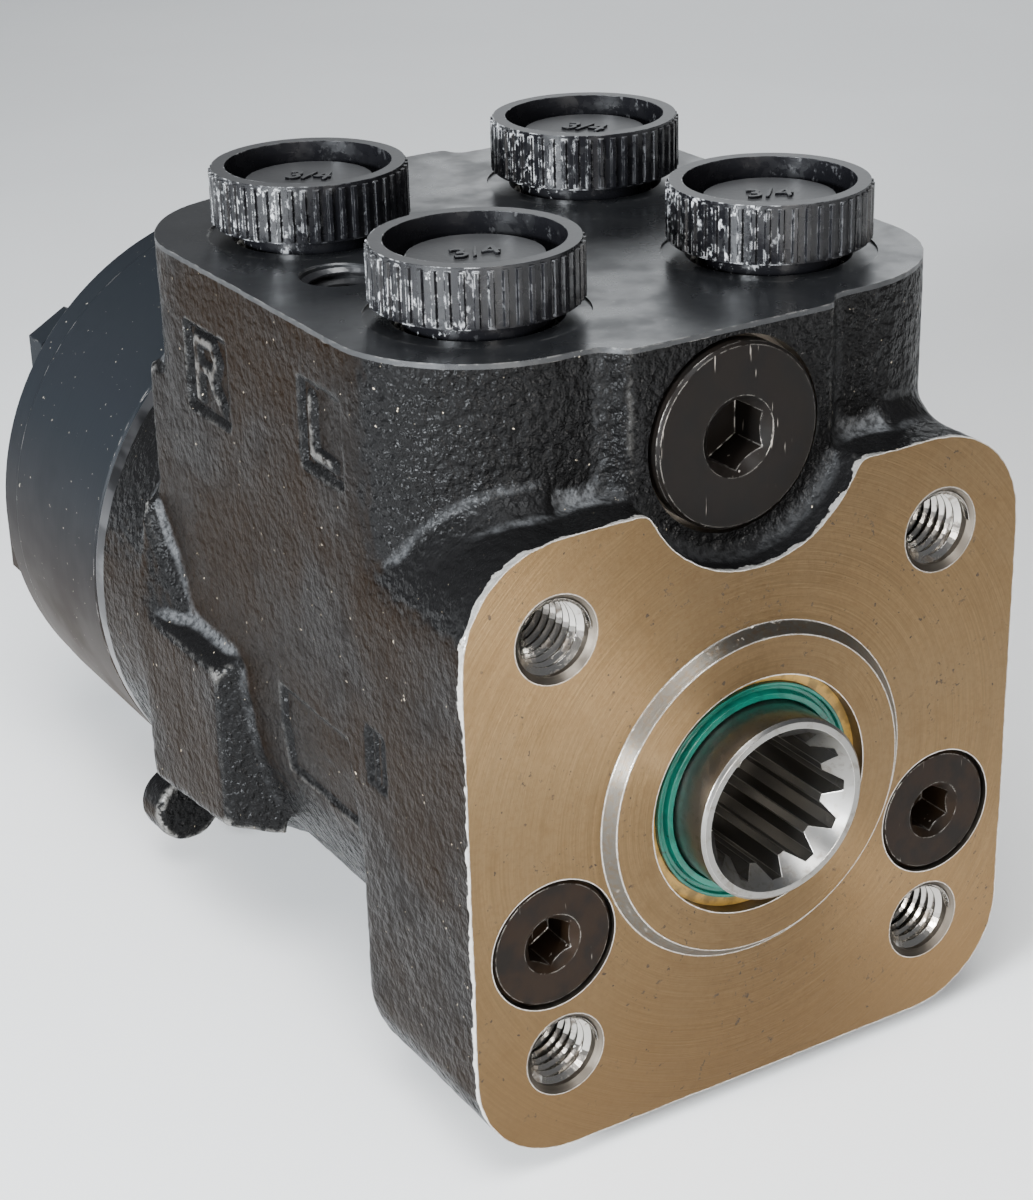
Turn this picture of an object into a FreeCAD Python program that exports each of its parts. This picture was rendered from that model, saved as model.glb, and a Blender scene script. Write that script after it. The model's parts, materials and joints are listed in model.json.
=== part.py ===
import FreeCAD, Part
import math
import os
import re

import Sketcher

# An orbital steering unit, in millimetres. X is to the right seen from the column
# side, Y runs rearward along the shaft and Z points up to the four ports. The origin
# is the centre of the mounting face, on the shaft axis.

# Driving dimensions
SIZES = {
    # mounting flange
    "body_half_width": 42.2,
    "flange_top_drop": 0.2,
    "flange_foot": 1.0,
    "flange_corner": 14.0,
    "flange_depth": 29.0,
    "bolt_circle": 82.5,
    "column_thread_r": 5.0,
    "column_hole_depth": 21.0,
    "pilot_r": 23.35,
    "pilot_height": 1.4,
    "pilot_root": 2.0,
    # port block
    "port_rise": 19.0,
    "front_port_y": 28.2,
    "rear_port_inset": 23.5,
    "lobe_r": 20.05,
    "front_boss_half": 15.5,
    "front_boss_y": 5.0,
    "rear_boss_half": 14.0,
    "rear_boss_reach": 3.0,
    "port_spotface_r": 14.2,
    "port_spotface_depth": 0.3,
    "port_thread_r": 9.6,
    "port_thread_depth": 15.0,
    "port_drill_r": 6.5,
    "port_drill_depth": 9.0,
    "manifold_inset": 13.2,
    "manifold_shift": 1.45,
    "manifold_thread_r": 5.0,
    "manifold_depth": 16.0,
    # middle and rear of the casting
    "mid_step": 0.4,
    "flare_length": 14.0,
    "rear_flange_thickness": 14.5,
    "block_setback": 6.5,
    "cast_margin": 0.3,
    "housing_length": 102.5,
    "lug_margin": 0.2,
    "lug_length": 31.0,
    "lug_front_slope": 7.0,
    "lug_top": 8.7,
    "lug_top_slope": 5.2,
    "lug_bottom": 24.0,
    "lug_bottom_slope": 2.0,
    "lug_root_depth": 4.0,
    "lug_overlap": 2.0,
    "ear_r": 5.6,
    "ear_inset": 8.6,
    "ear_rise": 10.6,
    "ear_thickness": 6.0,
    # cast panels on the left wall
    "panel_depth": 0.7,
    "rear_panel_y": 60.0,
    "rear_panel_length": 12.3,
    "rear_panel_drop": 9.0,
    "rear_panel_height": 12.0,
    "front_panel_y": 28.0,
    "front_panel_length": 10.5,
    "front_panel_drop": 7.5,
    "front_panel_height": 11.5,
    "low_panel_y": 30.0,
    "low_panel_length": 20.0,
    "low_panel_half": 6.3,
    "tally_panel_y": 20.5,
    "tally_panel_length": 5.3,
    "tally_panel_low": 2.9,
    "tally_panel_height": 7.9,
    # relief valve in the front wall
    "relief_drop": 13.9,
    "recess_r": 17.0,
    "recess_rise": 1.1,
    "spotface_r": 12.7,
    "spotface_floor": 7.9,
    "relief_thread_r": 9.0,
    "relief_thread_end": 20.0,
    "relief_bore_r": 7.0,
    "relief_bore_end": 52.0,
    "relief_outlet_r": 2.5,
    "relief_outlet_end": 58.0,
    # shock valves behind the two flush plugs
    "shock_inset": 11.7,
    "shock_z": 12.5,
    "shock_counterbore_r": 9.0,
    "shock_counterbore_floor": 5.0,
    "shock_thread_r": 6.0,
    "shock_thread_end": 16.0,
    "shock_bore_r": 4.5,
    "shock_bore_end": 40.0,
    "shock_outlet_r": 2.2,
    "shock_outlet_end": 46.0,
    # shaft seals and thrust bearing
    "seal_bore_r": 16.5,
    "seal_floor": 4.6,
    "seal_lip_r": 13.1,
    "ring_groove_front": 6.0,
    "ring_groove_r": 16.2,
    "seal_wall": 2.4,
    "seal_heel": 3.9,
    "seal_bevel": 0.8,
    "seal_lip_wall": 1.05,
    "seal_lip_heel": 0.6,
    "seal_lip_flare": 0.3,
    "seal_lip_reach": 0.4,
    "seal_hollow": 0.4,
    "seal_rim_wall": 0.6,
    "seal_rim_flat": 0.4,
    "seal_rim_reach": 0.1,
    "backing_ring_front": 0.5,
    "bearing_shoulder": 10.2,
    "race_thickness": 2.4,
    "race_inner_r": 12.9,
    "needle_r": 1.2,
    "needle_length": 4.4,
    "cage_thickness": 1.9,
    "face_gap": 0.05,
    "cage_inner_gap": 0.3,
    "cage_outer_gap": 0.2,
    # sleeve and spool
    "bore_r": 19.0,
    "running_gap": 0.03,
    "spool_r": 14.0,
    "journal_r": 12.5,
    "spool_front": -6.4,
    "spool_setback": 7.5,
    "spline_mouth_r": 11.25,
    "spline_mouth_depth": 3.4,
    "spline_minor_r": 8.75,
    "spline_root_r": 10.4,
    "space_half_wide": 1.69,
    "space_half_narrow": 0.74,
    "spline_end": 16.0,
    "spline_runout": 1.5,
    "spline_overlap": 0.15,
    "web_rear": 31.0,
    "spool_bore_r": 10.6,
    "sleeve_port_r": 1.6,
    "sleeve_groove_depth": 1.2,
    "sleeve_groove_half": 2.2,
    "middle_groove_shift": 20.0,
    "commutator_shift": 18.0,
    # cross pin and centring springs
    "pin_y": 36.5,
    "pin_r": 4.0,
    "pin_gap": 0.04,
    "pin_end_gap": 0.8,
    "pin_play": 2.3,
    "pin_slot_gap": 0.2,
    "spring_y": 24.0,
    "spring_half_width": 3.0,
    "leaf_thickness": 0.7,
    "leaf_arch": 0.55,
    "leaf_gap": 0.06,
    "leaf_end_gap": 0.35,
    "spring_slot_half": 2.95,
    "spring_ring_depth": 1.0,
    "spring_side_gap": 0.15,
    "spring_groove_gap": 0.4,
    "spring_ring_gap": 0.35,
    "sleeve_slot_gap": 0.2,
    # cardan shaft
    "cardan_head_r": 9.5,
    "cardan_neck_r": 6.9,
    "cardan_tooth_gap": 0.35,
    "cardan_front_gap": 0.6,
    "cardan_taper": 3.0,
    "cardan_chamfer": 1.0,
    "tooth_root_overlap": 0.3,
    "fork_end_gap": 0.4,
    "cardan_spline_inset": 2.4,
    "cardan_spline_length": 12.0,
    # gerotor stack
    "plate_thickness": 3.1,
    "plate_hole_r": 11.2,
    "ring_length": 32.8,
    "stack_overhang": 3.7,
    "cover_thickness": 6.5,
    "cover_step": 0.2,
    "stack_chamfer": 1.0,
    "roller_inset": 9.9,
    "gerotor_gap": 0.05,
    "slot_inset": 9.0,
    "slot_r": 2.5,
    "o_ring_inset": 2.3,
    "o_ring_r": 0.7,
    "o_ring_gap": 0.1,
    "spacer_gap": 1.6,
    "spacer_side_gap": 0.1,
    "spacer_chamfer": 0.6,
    # screws through the stack
    "screw_inset": 8.4,
    "screw_r": 4.0,
    "screw_hole_gap": 0.3,
    "screw_grip": 12.5,
    "screw_flats": 13.0,
    "screw_head": 5.3,
    "screw_chamfer": 0.6,
    "head_overlap": 1.0,
    "washer_r": 6.9,
    "washer_thickness": 1.5,
    "washer_gap": 0.15,
    "check_seat_depth": 38.5,
    "check_outlet_r": 2.5,
    "check_outlet_depth": 6.0,
    "check_ball_r": 3.9,
    "check_lift": 2.0,
    "rolled_pin_r": 3.1,
    "rolled_pin_bore": 2.0,
    "rolled_pin_gap": 0.3,
    # plugs
    "collar_r": 12.0,
    "collar_face": 4.0,
    "relief_plug_end": 17.0,
    "relief_flats": 8.0,
    "relief_socket_depth": 6.4,
    "shock_head_r": 8.7,
    "shock_head_face": 0.3,
    "shock_plug_end": 13.0,
    "shock_flats": 6.0,
    "shock_socket_depth": 6.0,
    "socket_chamfer": 0.65,
    "plug_chamfer": 0.8,
    "edge_break": 0.4,
    "cut_margin": 1.0,
    "seal_washer": 1.2,
    # valve springs
    "relief_screw_front": 21.5,
    "relief_screw_length": 5.5,
    "adjust_chamfer": 0.5,
    "adjust_floor": 2.0,
    "relief_spring_r": 4.6,
    "relief_wire_r": 0.8,
    "relief_poppet_front": 42.0,
    "poppet_skirt": 4.0,
    "relief_seat_front": 49.6,
    "relief_seat_r": 2.6,
    "shock_screw_front": 17.0,
    "shock_screw_length": 4.5,
    "set_screw_bore_r": 1.2,
    "shock_spring_r": 2.7,
    "shock_wire_r": 0.6,
    "shock_ball_r": 3.5,
    # port caps
    "cap_r": 13.1,
    "cap_ridge": 0.4,
    "cap_gap": 1.75,
    "cap_height": 7.7,
    "cap_wall": 1.8,
    "cap_floor": 1.5,
    "cap_disc_r": 8.6,
    "cap_disc_drop": 2.2,
    "cap_disc_thickness": 1.4,
    "cap_tube_r": 9.5,
    "cap_tube_depth": 9.5,
    "cap_tube_wall": 1.5,
    "cap_tube_chamfer": 0.5,
    "cap_draft": 0.3,
    "ridge_start": 0.3,
    "ridge_root": 0.3,
    "ridge_short": 0.8,
}

ROLLERS = 7
COLUMN_SIDES = (-1, 1)
SPLINE_TEETH = 12
CAP_RIDGES = 48
NEEDLES = 14
SCREW_STEP = 360.0 / ROLLERS
CHECK_SCREW = 6
SUCTION_SCREWS = {"left": 2, "right": 5}
TOP_DEGREES = 90.0
ORBIT_SHARE = 12
ROLLER_SHARE = 0.2722
EAR_ROOT_SHARE = 0.7
OUTLINE_SAMPLES = 16
RELIEF_TURNS = 6
SHOCK_TURNS = 5
POPPET_BODY_SHARE = 1.6
POPPET_CONE_SHARE = 0.6
POPPET_TIP_SHARE = 0.2
BALL_SPRING_SHARE = 0.72
RIDGE_SHARE = 0.62
CREST_SHARE = 0.45
THROUGH = 4

doc = FreeCAD.newDocument("orbital_steering_unit")
sheet = doc.addObject("Spreadsheet::Sheet", "sizes")
for row, (word, amount) in enumerate(SIZES.items(), start=1):
    sheet.set(f"A{row}", word)
    sheet.set(f"B{row}", str(amount))
    sheet.setAlias(f"B{row}", word)
doc.recompute()


class Size:
    """A length with the formula that keeps it tied to the sheet."""

    def __init__(self, number, text):
        self.number = float(number)
        self.text = text

    def __add__(self, other):
        other = length(other)
        return Size(self.number + other.number, f"({self.text} + {other.text})")

    def __sub__(self, other):
        other = length(other)
        return Size(self.number - other.number, f"({self.text} - {other.text})")

    def __mul__(self, factor):
        return Size(self.number * factor, f"({self.text} * {factor!r})")

    def __truediv__(self, factor):
        return Size(self.number / factor, f"({self.text} / {factor!r})")

    def __neg__(self):
        return Size(-self.number, f"(0 - {self.text})")

    def __radd__(self, other):
        return length(other) + self

    def __rsub__(self, other):
        return length(other) - self

    def __rmul__(self, factor):
        return self * factor

    def __float__(self):
        return self.number


def length(amount):
    """A plain number as a Size, and a Size as it is."""
    if isinstance(amount, Size):
        return amount
    return Size(amount, repr(float(amount)))


class Sheet:
    """Every driving dimension by its own name."""


for word in SIZES:
    setattr(Sheet, word, Size(sheet.get(word), f"sizes.{word}"))
s = Sheet

# Sizes that follow from the driving ones
s.flange_half_width = s.body_half_width
s.flange_top = s.body_half_width - s.flange_top_drop
s.flange_bottom = s.body_half_width + s.flange_foot
s.mid_half_width = s.body_half_width - s.mid_step
s.ring_r = s.body_half_width + s.stack_overhang
s.cover_r = s.ring_r - s.cover_step
s.rear_flange_r = s.ring_r + s.cast_margin
s.lug_reach = s.rear_flange_r - s.lug_margin
s.screw_circle = s.ring_r - s.screw_inset
s.o_ring_circle = s.ring_r - s.o_ring_inset
s.roller_circle = s.ring_r - s.roller_inset
s.roller_r = s.roller_circle * ROLLER_SHARE
s.eccentricity = s.roller_circle / ORBIT_SHARE
s.slot_circle = s.roller_circle - s.slot_inset
s.flare_end = s.housing_length - s.rear_flange_thickness
s.flare_start = s.flare_end - s.flare_length
s.block_rear = s.housing_length - s.block_setback
s.rear_boss_y = s.block_rear + s.rear_boss_reach
s.lug_front = s.flare_end - s.lug_length
s.check_seat = s.housing_length - s.check_seat_depth
s.spool_rear = s.housing_length - s.spool_setback
s.ear_x = s.rear_flange_r - s.ear_inset
s.ear_z = s.rear_flange_r - s.ear_rise
s.ear_front = s.housing_length - s.ear_thickness
s.port_face = s.flange_top + s.port_rise
s.port_x = s.body_half_width - s.lobe_r
s.rear_port_y = s.block_rear - s.rear_port_inset
s.manifold_x = s.body_half_width - s.manifold_inset
s.manifold_y = (s.front_port_y + s.rear_port_y) / 2 + s.manifold_shift
s.relief_z = s.port_face - s.relief_drop
s.recess_z = s.relief_z + s.recess_rise
s.shock_x = s.body_half_width - s.shock_inset
s.cap_bottom = s.port_face + s.cap_gap
s.cap_top = s.cap_bottom + s.cap_height
port_block_half = s.body_half_width
block_front = s.front_port_y - s.lobe_r
column_hole = s.bolt_circle / (2 * math.sqrt(2))
outer_race_front = s.bearing_shoulder + s.face_gap
outer_race_rear = outer_race_front + s.race_thickness
needle_y = outer_race_rear + s.needle_r + s.face_gap
inner_race_front = needle_y + s.needle_r + s.face_gap
inner_race_rear = inner_race_front + s.race_thickness
sleeve_front = inner_race_rear + s.face_gap
race_r = s.bore_r - s.face_gap * 2
sleeve_r = s.bore_r - s.running_gap
spool_body_r = s.spool_r - s.running_gap
plate_front = s.housing_length
ring_front = plate_front + s.plate_thickness
s.cardan_spline_front = ring_front + s.cardan_spline_inset
s.cardan_spline_end = s.cardan_spline_front + s.cardan_spline_length
cover_front = ring_front + s.ring_length
cover_rear = cover_front + s.cover_thickness
sleeve_rear = s.housing_length - s.face_gap
head_front = cover_rear + s.washer_thickness
screw_end = s.housing_length - s.screw_grip
screw_hole_r = s.screw_r + s.screw_hole_gap
tapped_r = s.screw_r + s.face_gap
check_ball_y = s.check_seat + s.check_ball_r + s.face_gap
check_stop_y = check_ball_y + s.check_ball_r + s.check_lift
o_ring_groove_half = s.o_ring_r + s.o_ring_gap
o_ring_groove_depth = (s.o_ring_r + s.o_ring_gap) * 2
ring_valley_r = s.roller_circle - s.roller_r + s.eccentricity * 2 + s.gerotor_gap
space_slope = (s.space_half_wide.number - s.space_half_narrow.number) / (
    s.spline_root_r.number - s.spline_minor_r.number
)


# Small helpers for sketches and features
def bind(thing, prop, amount):
    """Tie one property to the sheet."""
    thing.setExpression(prop, length(amount).text)


def new_body(name, place=(0, 0, 0)):
    """An empty body with its own name, moved to its place in the unit."""
    body = doc.addObject("PartDesign::Body", name)
    body.Label = name
    for letter, amount in zip("xyz", place):
        bind(body, f"Placement.Base.{letter}", amount)
    return body


def attach(body, name, plane, offset=0):
    """A sketch on one of the body's own planes, moved along the plane's normal."""
    sketch = body.newObject("Sketcher::SketchObject", name)
    role = f"{plane}_Plane"
    datum = [item for item in body.Origin.OriginFeatures if item.Role == role][0]
    sketch.AttachmentSupport = (datum, [""])
    sketch.MapMode = "FlatFace"
    bind(sketch, "AttachmentOffset.Base.z", offset)
    return sketch


def hold(sketch, kind, edge, point, amount):
    """One coordinate of a sketch point, tied to the sheet."""
    amount = length(amount)
    number = sketch.addConstraint(Sketcher.Constraint(kind, -1, 1, edge, point, amount.number))
    bind(sketch, f"Constraints[{number}]", amount)


def draw_outline(sketch, points):
    """Straight edges through the points, closed, with every corner dimensioned."""
    first = sketch.GeometryCount
    spots = [FreeCAD.Vector(float(across), float(along), 0) for across, along in points]
    count = len(spots)
    for index, spot in enumerate(spots):
        sketch.addGeometry(Part.LineSegment(spot, spots[(index + 1) % count]))
    for index in range(count):
        following = first + (index + 1) % count
        sketch.addConstraint(Sketcher.Constraint("Coincident", first + index, 2, following, 1))
    for index, (across, along) in enumerate(points):
        hold(sketch, "DistanceX", first + index, 1, across)
        hold(sketch, "DistanceY", first + index, 1, along)


def draw_circle(sketch, centre, radius):
    """A dimensioned circle."""
    radius = length(radius)
    middle = FreeCAD.Vector(float(centre[0]), float(centre[1]), 0)
    edge = sketch.addGeometry(Part.Circle(middle, FreeCAD.Vector(0, 0, 1), radius.number))
    number = sketch.addConstraint(Sketcher.Constraint("Radius", edge, radius.number))
    bind(sketch, f"Constraints[{number}]", radius)
    hold(sketch, "DistanceX", edge, 3, centre[0])
    hold(sketch, "DistanceY", edge, 3, centre[1])


def pad(body, sketch, depth, rearward=True):
    """Material grown from a sketch; on the XZ plane rearward is against the normal."""
    feature = body.newObject("PartDesign::Pad", f"{sketch.Name}_pad")
    feature.Profile = sketch
    feature.Reversed = rearward
    bind(feature, "Length", depth)
    sketch.Visibility = False
    doc.recompute()
    return feature


def pocket(body, sketch, depth, midplane=False):
    """Material cut from a sketch, against the sketch plane's normal."""
    feature = body.newObject("PartDesign::Pocket", f"{sketch.Name}_cut")
    feature.Profile = sketch
    feature.Midplane = midplane
    bind(feature, "Length", depth)
    sketch.Visibility = False
    doc.recompute()
    return feature


def bar(body, name, y_from, y_to, corners):
    """A prism along Y between two stations, from its outline seen from the front."""
    sketch = attach(body, name, "XZ", -length(y_from))
    draw_outline(sketch, corners)
    return pad(body, sketch, length(y_to) - y_from)


def round_bar(body, name, y_from, y_to, centre, radius):
    """A round prism along Y between two stations."""
    sketch = attach(body, name, "XZ", -length(y_from))
    draw_circle(sketch, centre, radius)
    return pad(body, sketch, length(y_to) - y_from)


def drill(body, name, y_from, y_to, centres, radius):
    """Round holes along Y between two stations."""
    sketch = attach(body, name, "XZ", -length(y_from))
    for centre in centres:
        draw_circle(sketch, centre, radius)
    return pocket(body, sketch, length(y_to) - y_from)


def drill_down(body, name, top, depth, centres, radius):
    """Round holes going down from a height."""
    sketch = attach(body, name, "XY", top)
    for centre in centres:
        draw_circle(sketch, centre, radius)
    return pocket(body, sketch, depth)


def edge_names(shape, test):
    """The names of the edges that pass a test."""
    return [f"Edge{index}" for index, edge in enumerate(shape.Edges, start=1) if test(edge)]


def dress(body, kind, name, amount, test):
    """A fillet or chamfer on the edges that pass a test."""
    base = body.Tip
    feature = body.newObject(f"PartDesign::{kind}", name)
    feature.Base = (base, edge_names(base.Shape, test))
    bind(feature, "Radius" if kind == "Fillet" else "Size", amount)
    doc.recompute()
    return feature


def polar(body, feature, axis, count, name):
    """A feature repeated evenly about the body's own axis."""
    pattern = body.newObject("PartDesign::PolarPattern", name)
    pattern.Originals = [feature]
    role = f"{axis}_Axis"
    datum = [item for item in body.Origin.OriginFeatures if item.Role == role][0]
    pattern.Axis = (datum, [""])
    pattern.Angle = 360
    pattern.Occurrences = count
    body.Tip = pattern
    doc.recompute()
    return pattern


def spin(body, name, points, axis="Y", start="XY"):
    """A revolve of an outline given as radius and station along the axis.

    The outline starts in the XY or XZ plane, or for an axis along Y in the YZ plane.
    """
    sketch = attach(body, name, "XZ" if axis == "Z" else start)
    if start == "YZ":
        points = [(station, radius) for radius, station in points]
    draw_outline(sketch, points)
    feature = body.newObject("PartDesign::Revolution", f"{name}_turn")
    feature.Profile = sketch
    feature.ReferenceAxis = (sketch, ["H_Axis" if start == "YZ" else "V_Axis"])
    feature.Angle = 360
    sketch.Visibility = False
    doc.recompute()
    return feature


def turned(name, points, place=(0, 0, 0), axis="Y"):
    """A whole piece turned on a lathe."""
    body = new_body(name, place)
    spin(body, f"{name}_outline", points, axis)
    return body


def hexagon(across_flats, centre=(0, 0)):
    """The corners of a hexagon with two flats upright."""
    corner_r = length(across_flats) / math.sqrt(3)
    turns = [math.radians(30 + 60 * index) for index in range(6)]
    return [
        (centre[0] + corner_r * math.cos(turn), centre[1] + corner_r * math.sin(turn))
        for turn in turns
    ]


def rectangle(left, right, low, high):
    """The corners of a rectangle."""
    return [(left, low), (right, low), (right, high), (left, high)]


def screw_place(index):
    """Where one of the seven stack screws stands, seen from the front."""
    turn = math.radians(TOP_DEGREES + index * SCREW_STEP)
    return s.screw_circle * math.cos(turn), s.screw_circle * math.sin(turn)


def shape_feature(name, shape):
    """A piece whose form is worked out by formula."""
    piece = doc.addObject("Part::Feature", name)
    piece.Label = name
    piece.Shape = shape
    return piece


SCREW_PLACES = [screw_place(index) for index in range(ROLLERS)]


# Housing: one casting with a mounting flange, a port block and a rear flange
def make_flange(body):
    corners = rectangle(-s.flange_half_width, s.flange_half_width, -s.flange_bottom, s.flange_top)
    bar(body, "flange", 0, s.flange_depth, corners)
    dress(body, "Fillet", "flange_corners", s.flange_corner, runs_rearward)


def runs_rearward(edge):
    return edge.Curve.TypeId == "Part::GeomLine" and abs(edge.tangentAt(edge.FirstParameter).y) > 0.99


def make_port_block(body):
    """The block's corners are lobes, the front ones struck from the port centres."""
    half = port_block_half
    rear = s.block_rear - s.lobe_r
    sketch = attach(body, "block_across", "XY")
    draw_outline(sketch, rectangle(-half, half, s.front_port_y, rear))
    pad(body, sketch, s.port_face, rearward=False)
    sketch = attach(body, "block_along", "XY")
    draw_outline(sketch, rectangle(-s.port_x, s.port_x, block_front, s.block_rear))
    pad(body, sketch, s.port_face, rearward=False)
    sketch = attach(body, "block_lobes", "XY")
    for side in COLUMN_SIDES:
        for y in (s.front_port_y, rear):
            draw_circle(sketch, (side * s.port_x, y), s.lobe_r)
    pad(body, sketch, s.port_face, rearward=False)
    sketch = attach(body, "front_boss", "XY")
    draw_outline(sketch, rectangle(-s.front_boss_half, s.front_boss_half, s.front_boss_y, s.front_port_y))
    pad(body, sketch, s.port_face, rearward=False)
    sketch = attach(body, "rear_boss", "XY")
    draw_outline(sketch, rectangle(-s.rear_boss_half, s.rear_boss_half, s.rear_port_y, s.rear_boss_y))
    pad(body, sketch, s.port_face, rearward=False)


def make_rear(body):
    """The middle is round below the axis and flares out to the rear flange."""
    mid = s.mid_half_width
    points = [
        (0, s.flange_depth / 2), (mid, s.flange_depth / 2), (mid, s.flare_start),
        (s.rear_flange_r, s.flare_end), (s.rear_flange_r, s.housing_length), (0, s.housing_length),
    ]
    spin(body, "round_middle", points, start="YZ")
    corners = rectangle(-mid, mid, 0, s.flange_top)
    bar(body, "upper_middle", s.front_port_y, s.flare_end, corners)


def make_lugs(body):
    """Thick ears at the sides cover the long screw holes behind them."""
    root = attach(body, "lug_root", "YZ", s.lug_root_depth - s.mid_half_width)
    rear = s.flare_end + s.lug_overlap
    draw_outline(root, rectangle(s.lug_front, rear, -s.lug_bottom - s.lug_bottom_slope, s.lug_top))
    tip = attach(body, "lug_tip", "YZ", -s.lug_reach)
    front = s.lug_front + s.lug_front_slope
    draw_outline(tip, rectangle(front, rear, -s.lug_bottom, s.lug_top - s.lug_top_slope))
    loft = body.newObject("PartDesign::AdditiveLoft", "lug")
    loft.Profile = root
    loft.Sections = [tip]
    loft.Ruled = True
    doc.recompute()
    mirror = body.newObject("PartDesign::Mirrored", "lugs")
    mirror.Originals = [loft]
    mirror.MirrorPlane = ([item for item in body.Origin.OriginFeatures if item.Role == "YZ_Plane"][0], [""])
    body.Tip = mirror
    doc.recompute()
    round_bar(body, "cast_ear", s.ear_front, s.housing_length, (-s.ear_x, -s.ear_z), s.ear_r)
    root = s.ear_r * EAR_ROOT_SHARE
    corners = [
        (-s.ear_x - root, -s.ear_z + root),
        (-s.ear_x + root, -s.ear_z - root),
        (-s.ear_x / 2, -s.ear_z / 2 - root),
        (-s.ear_x / 2 - root, -s.ear_z / 2),
    ]
    bar(body, "ear_root", s.ear_front, s.housing_length, corners)


def make_front_recess(body):
    """A round bite in the flange makes room for the relief plug."""
    drill(body, "recess", 0, s.front_boss_y, [(0, s.recess_z)], s.recess_r)
    drill(body, "spotface", 0, s.spotface_floor, [(0, s.relief_z)], s.spotface_r)
    centre = [(0, s.relief_z)]
    drill(body, "relief_thread", 0, s.relief_thread_end, centre, s.relief_thread_r + s.face_gap)
    drill(body, "relief_bore", 0, s.relief_bore_end, centre, s.relief_bore_r)
    drill(body, "relief_outlet", 0, s.relief_outlet_end, centre, s.relief_outlet_r)


def make_pilot(body):
    flank = s.pilot_height
    points = [
        (0, s.pilot_root), (s.pilot_r, s.pilot_root), (s.pilot_r, 0), (s.pilot_r - flank, -flank), (0, -flank),
    ]
    spin(body, "pilot", points)


def make_main_bore(body):
    """The stepped bore: seals in front, then the thrust bearing, sleeve and spool."""
    front = -s.pilot_height - s.cut_margin
    drill(body, "seal_bore", front, s.seal_floor, [(0, 0)], s.seal_bore_r)
    drill(body, "lip_bore", front, s.bearing_shoulder, [(0, 0)], s.seal_lip_r)
    drill(body, "ring_groove", s.ring_groove_front, s.bearing_shoulder, [(0, 0)], s.ring_groove_r)
    drill(body, "bore", s.bearing_shoulder, s.housing_length + s.cut_margin, [(0, 0)], s.bore_r)


def make_column_holes(body):
    centres = [(x * column_hole, z * column_hole) for x in COLUMN_SIDES for z in COLUMN_SIDES]
    drill(body, "column_threads", 0, s.column_hole_depth, centres, s.column_thread_r)


def make_ports(body):
    """Four threaded ports, each drilled on and joined to the bore by a slanted gallery."""
    centres = [(x * s.port_x, y) for x in COLUMN_SIDES for y in (s.front_port_y, s.rear_port_y)]
    drill_down(body, "port_spotfaces", s.port_face, s.port_spotface_depth, centres, s.port_spotface_r)
    drill_down(body, "port_threads", s.port_face, s.port_thread_depth, centres, s.port_thread_r)
    drill_depth = s.port_thread_depth + s.port_drill_depth
    drill_down(body, "port_drills", s.port_face, drill_depth, centres, s.port_drill_r)
    centres = [(x * s.manifold_x, s.manifold_y) for x in COLUMN_SIDES]
    drill_down(body, "manifold_threads", s.port_face, s.manifold_depth, centres, s.manifold_thread_r)


def make_shock_bores(body):
    centres = [(side * s.shock_x, -s.shock_z) for side in COLUMN_SIDES]
    drill(body, "shock_counterbores", 0, s.shock_counterbore_floor, centres, s.shock_counterbore_r)
    drill(body, "shock_threads", 0, s.shock_thread_end, centres, s.shock_thread_r + s.face_gap)
    drill(body, "shock_bores", 0, s.shock_bore_end, centres, s.shock_bore_r)
    drill(body, "shock_outlets", 0, s.shock_outlet_end, centres, s.shock_outlet_r)


def make_rear_holes(body):
    """Blind screw holes; three go deeper and hold a ball each."""
    open_end = s.housing_length + s.cut_margin
    drill(body, "screw_threads", screw_end - s.cut_margin, open_end, SCREW_PLACES, tapped_r)
    deep = [SCREW_PLACES[CHECK_SCREW]] + [SCREW_PLACES[index] for index in SUCTION_SCREWS.values()]
    drill(body, "ball_bores", s.check_seat, s.housing_length, deep, tapped_r)
    drill(body, "ball_outlets", s.check_seat - s.check_outlet_depth, s.housing_length, deep, s.check_outlet_r)
    o_ring_groove(body, s.housing_length - o_ring_groove_depth, open_end)


def o_ring_groove(body, y_from, y_to):
    """A square ring-shaped groove cut into an end face."""
    sketch = attach(body, f"{body.Name}_groove_{round(float(y_from))}", "XZ", -length(y_from))
    draw_circle(sketch, (0, 0), s.o_ring_circle + o_ring_groove_half)
    draw_circle(sketch, (0, 0), s.o_ring_circle - o_ring_groove_half)
    pocket(body, sketch, length(y_to) - y_from)


def make_panels(body):
    """Shallow cast panels on the left wall, where marks stand on such castings."""
    rear_top = s.port_face - s.rear_panel_drop
    front_top = s.port_face - s.front_panel_drop
    panels = (
        ("rear", port_block_half, s.rear_panel_y, s.rear_panel_length,
         rear_top - s.rear_panel_height, s.rear_panel_height),
        ("front", port_block_half, s.front_panel_y, s.front_panel_length,
         front_top - s.front_panel_height, s.front_panel_height),
        ("low", s.mid_half_width, s.low_panel_y, s.low_panel_length,
         -s.low_panel_half, s.low_panel_half * 2),
        ("tally", s.flange_half_width, s.tally_panel_y, s.tally_panel_length,
         s.tally_panel_low, s.tally_panel_height),
    )
    for word, wall, y, across, low, height in panels:
        sketch = attach(body, f"{word}_panel", "YZ", -wall - s.cut_margin)
        draw_outline(sketch, rectangle(y, y + across, low, low + height))
        feature = pocket(body, sketch, s.panel_depth + s.cut_margin)
        feature.Reversed = True
        doc.recompute()


def make_housing():
    body = new_body("housing")
    make_flange(body)
    make_rear(body)
    make_port_block(body)
    make_lugs(body)
    make_pilot(body)
    make_front_recess(body)
    make_main_bore(body)
    make_column_holes(body)
    make_ports(body)
    make_shock_bores(body)
    make_rear_holes(body)
    make_panels(body)
    return body


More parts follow.
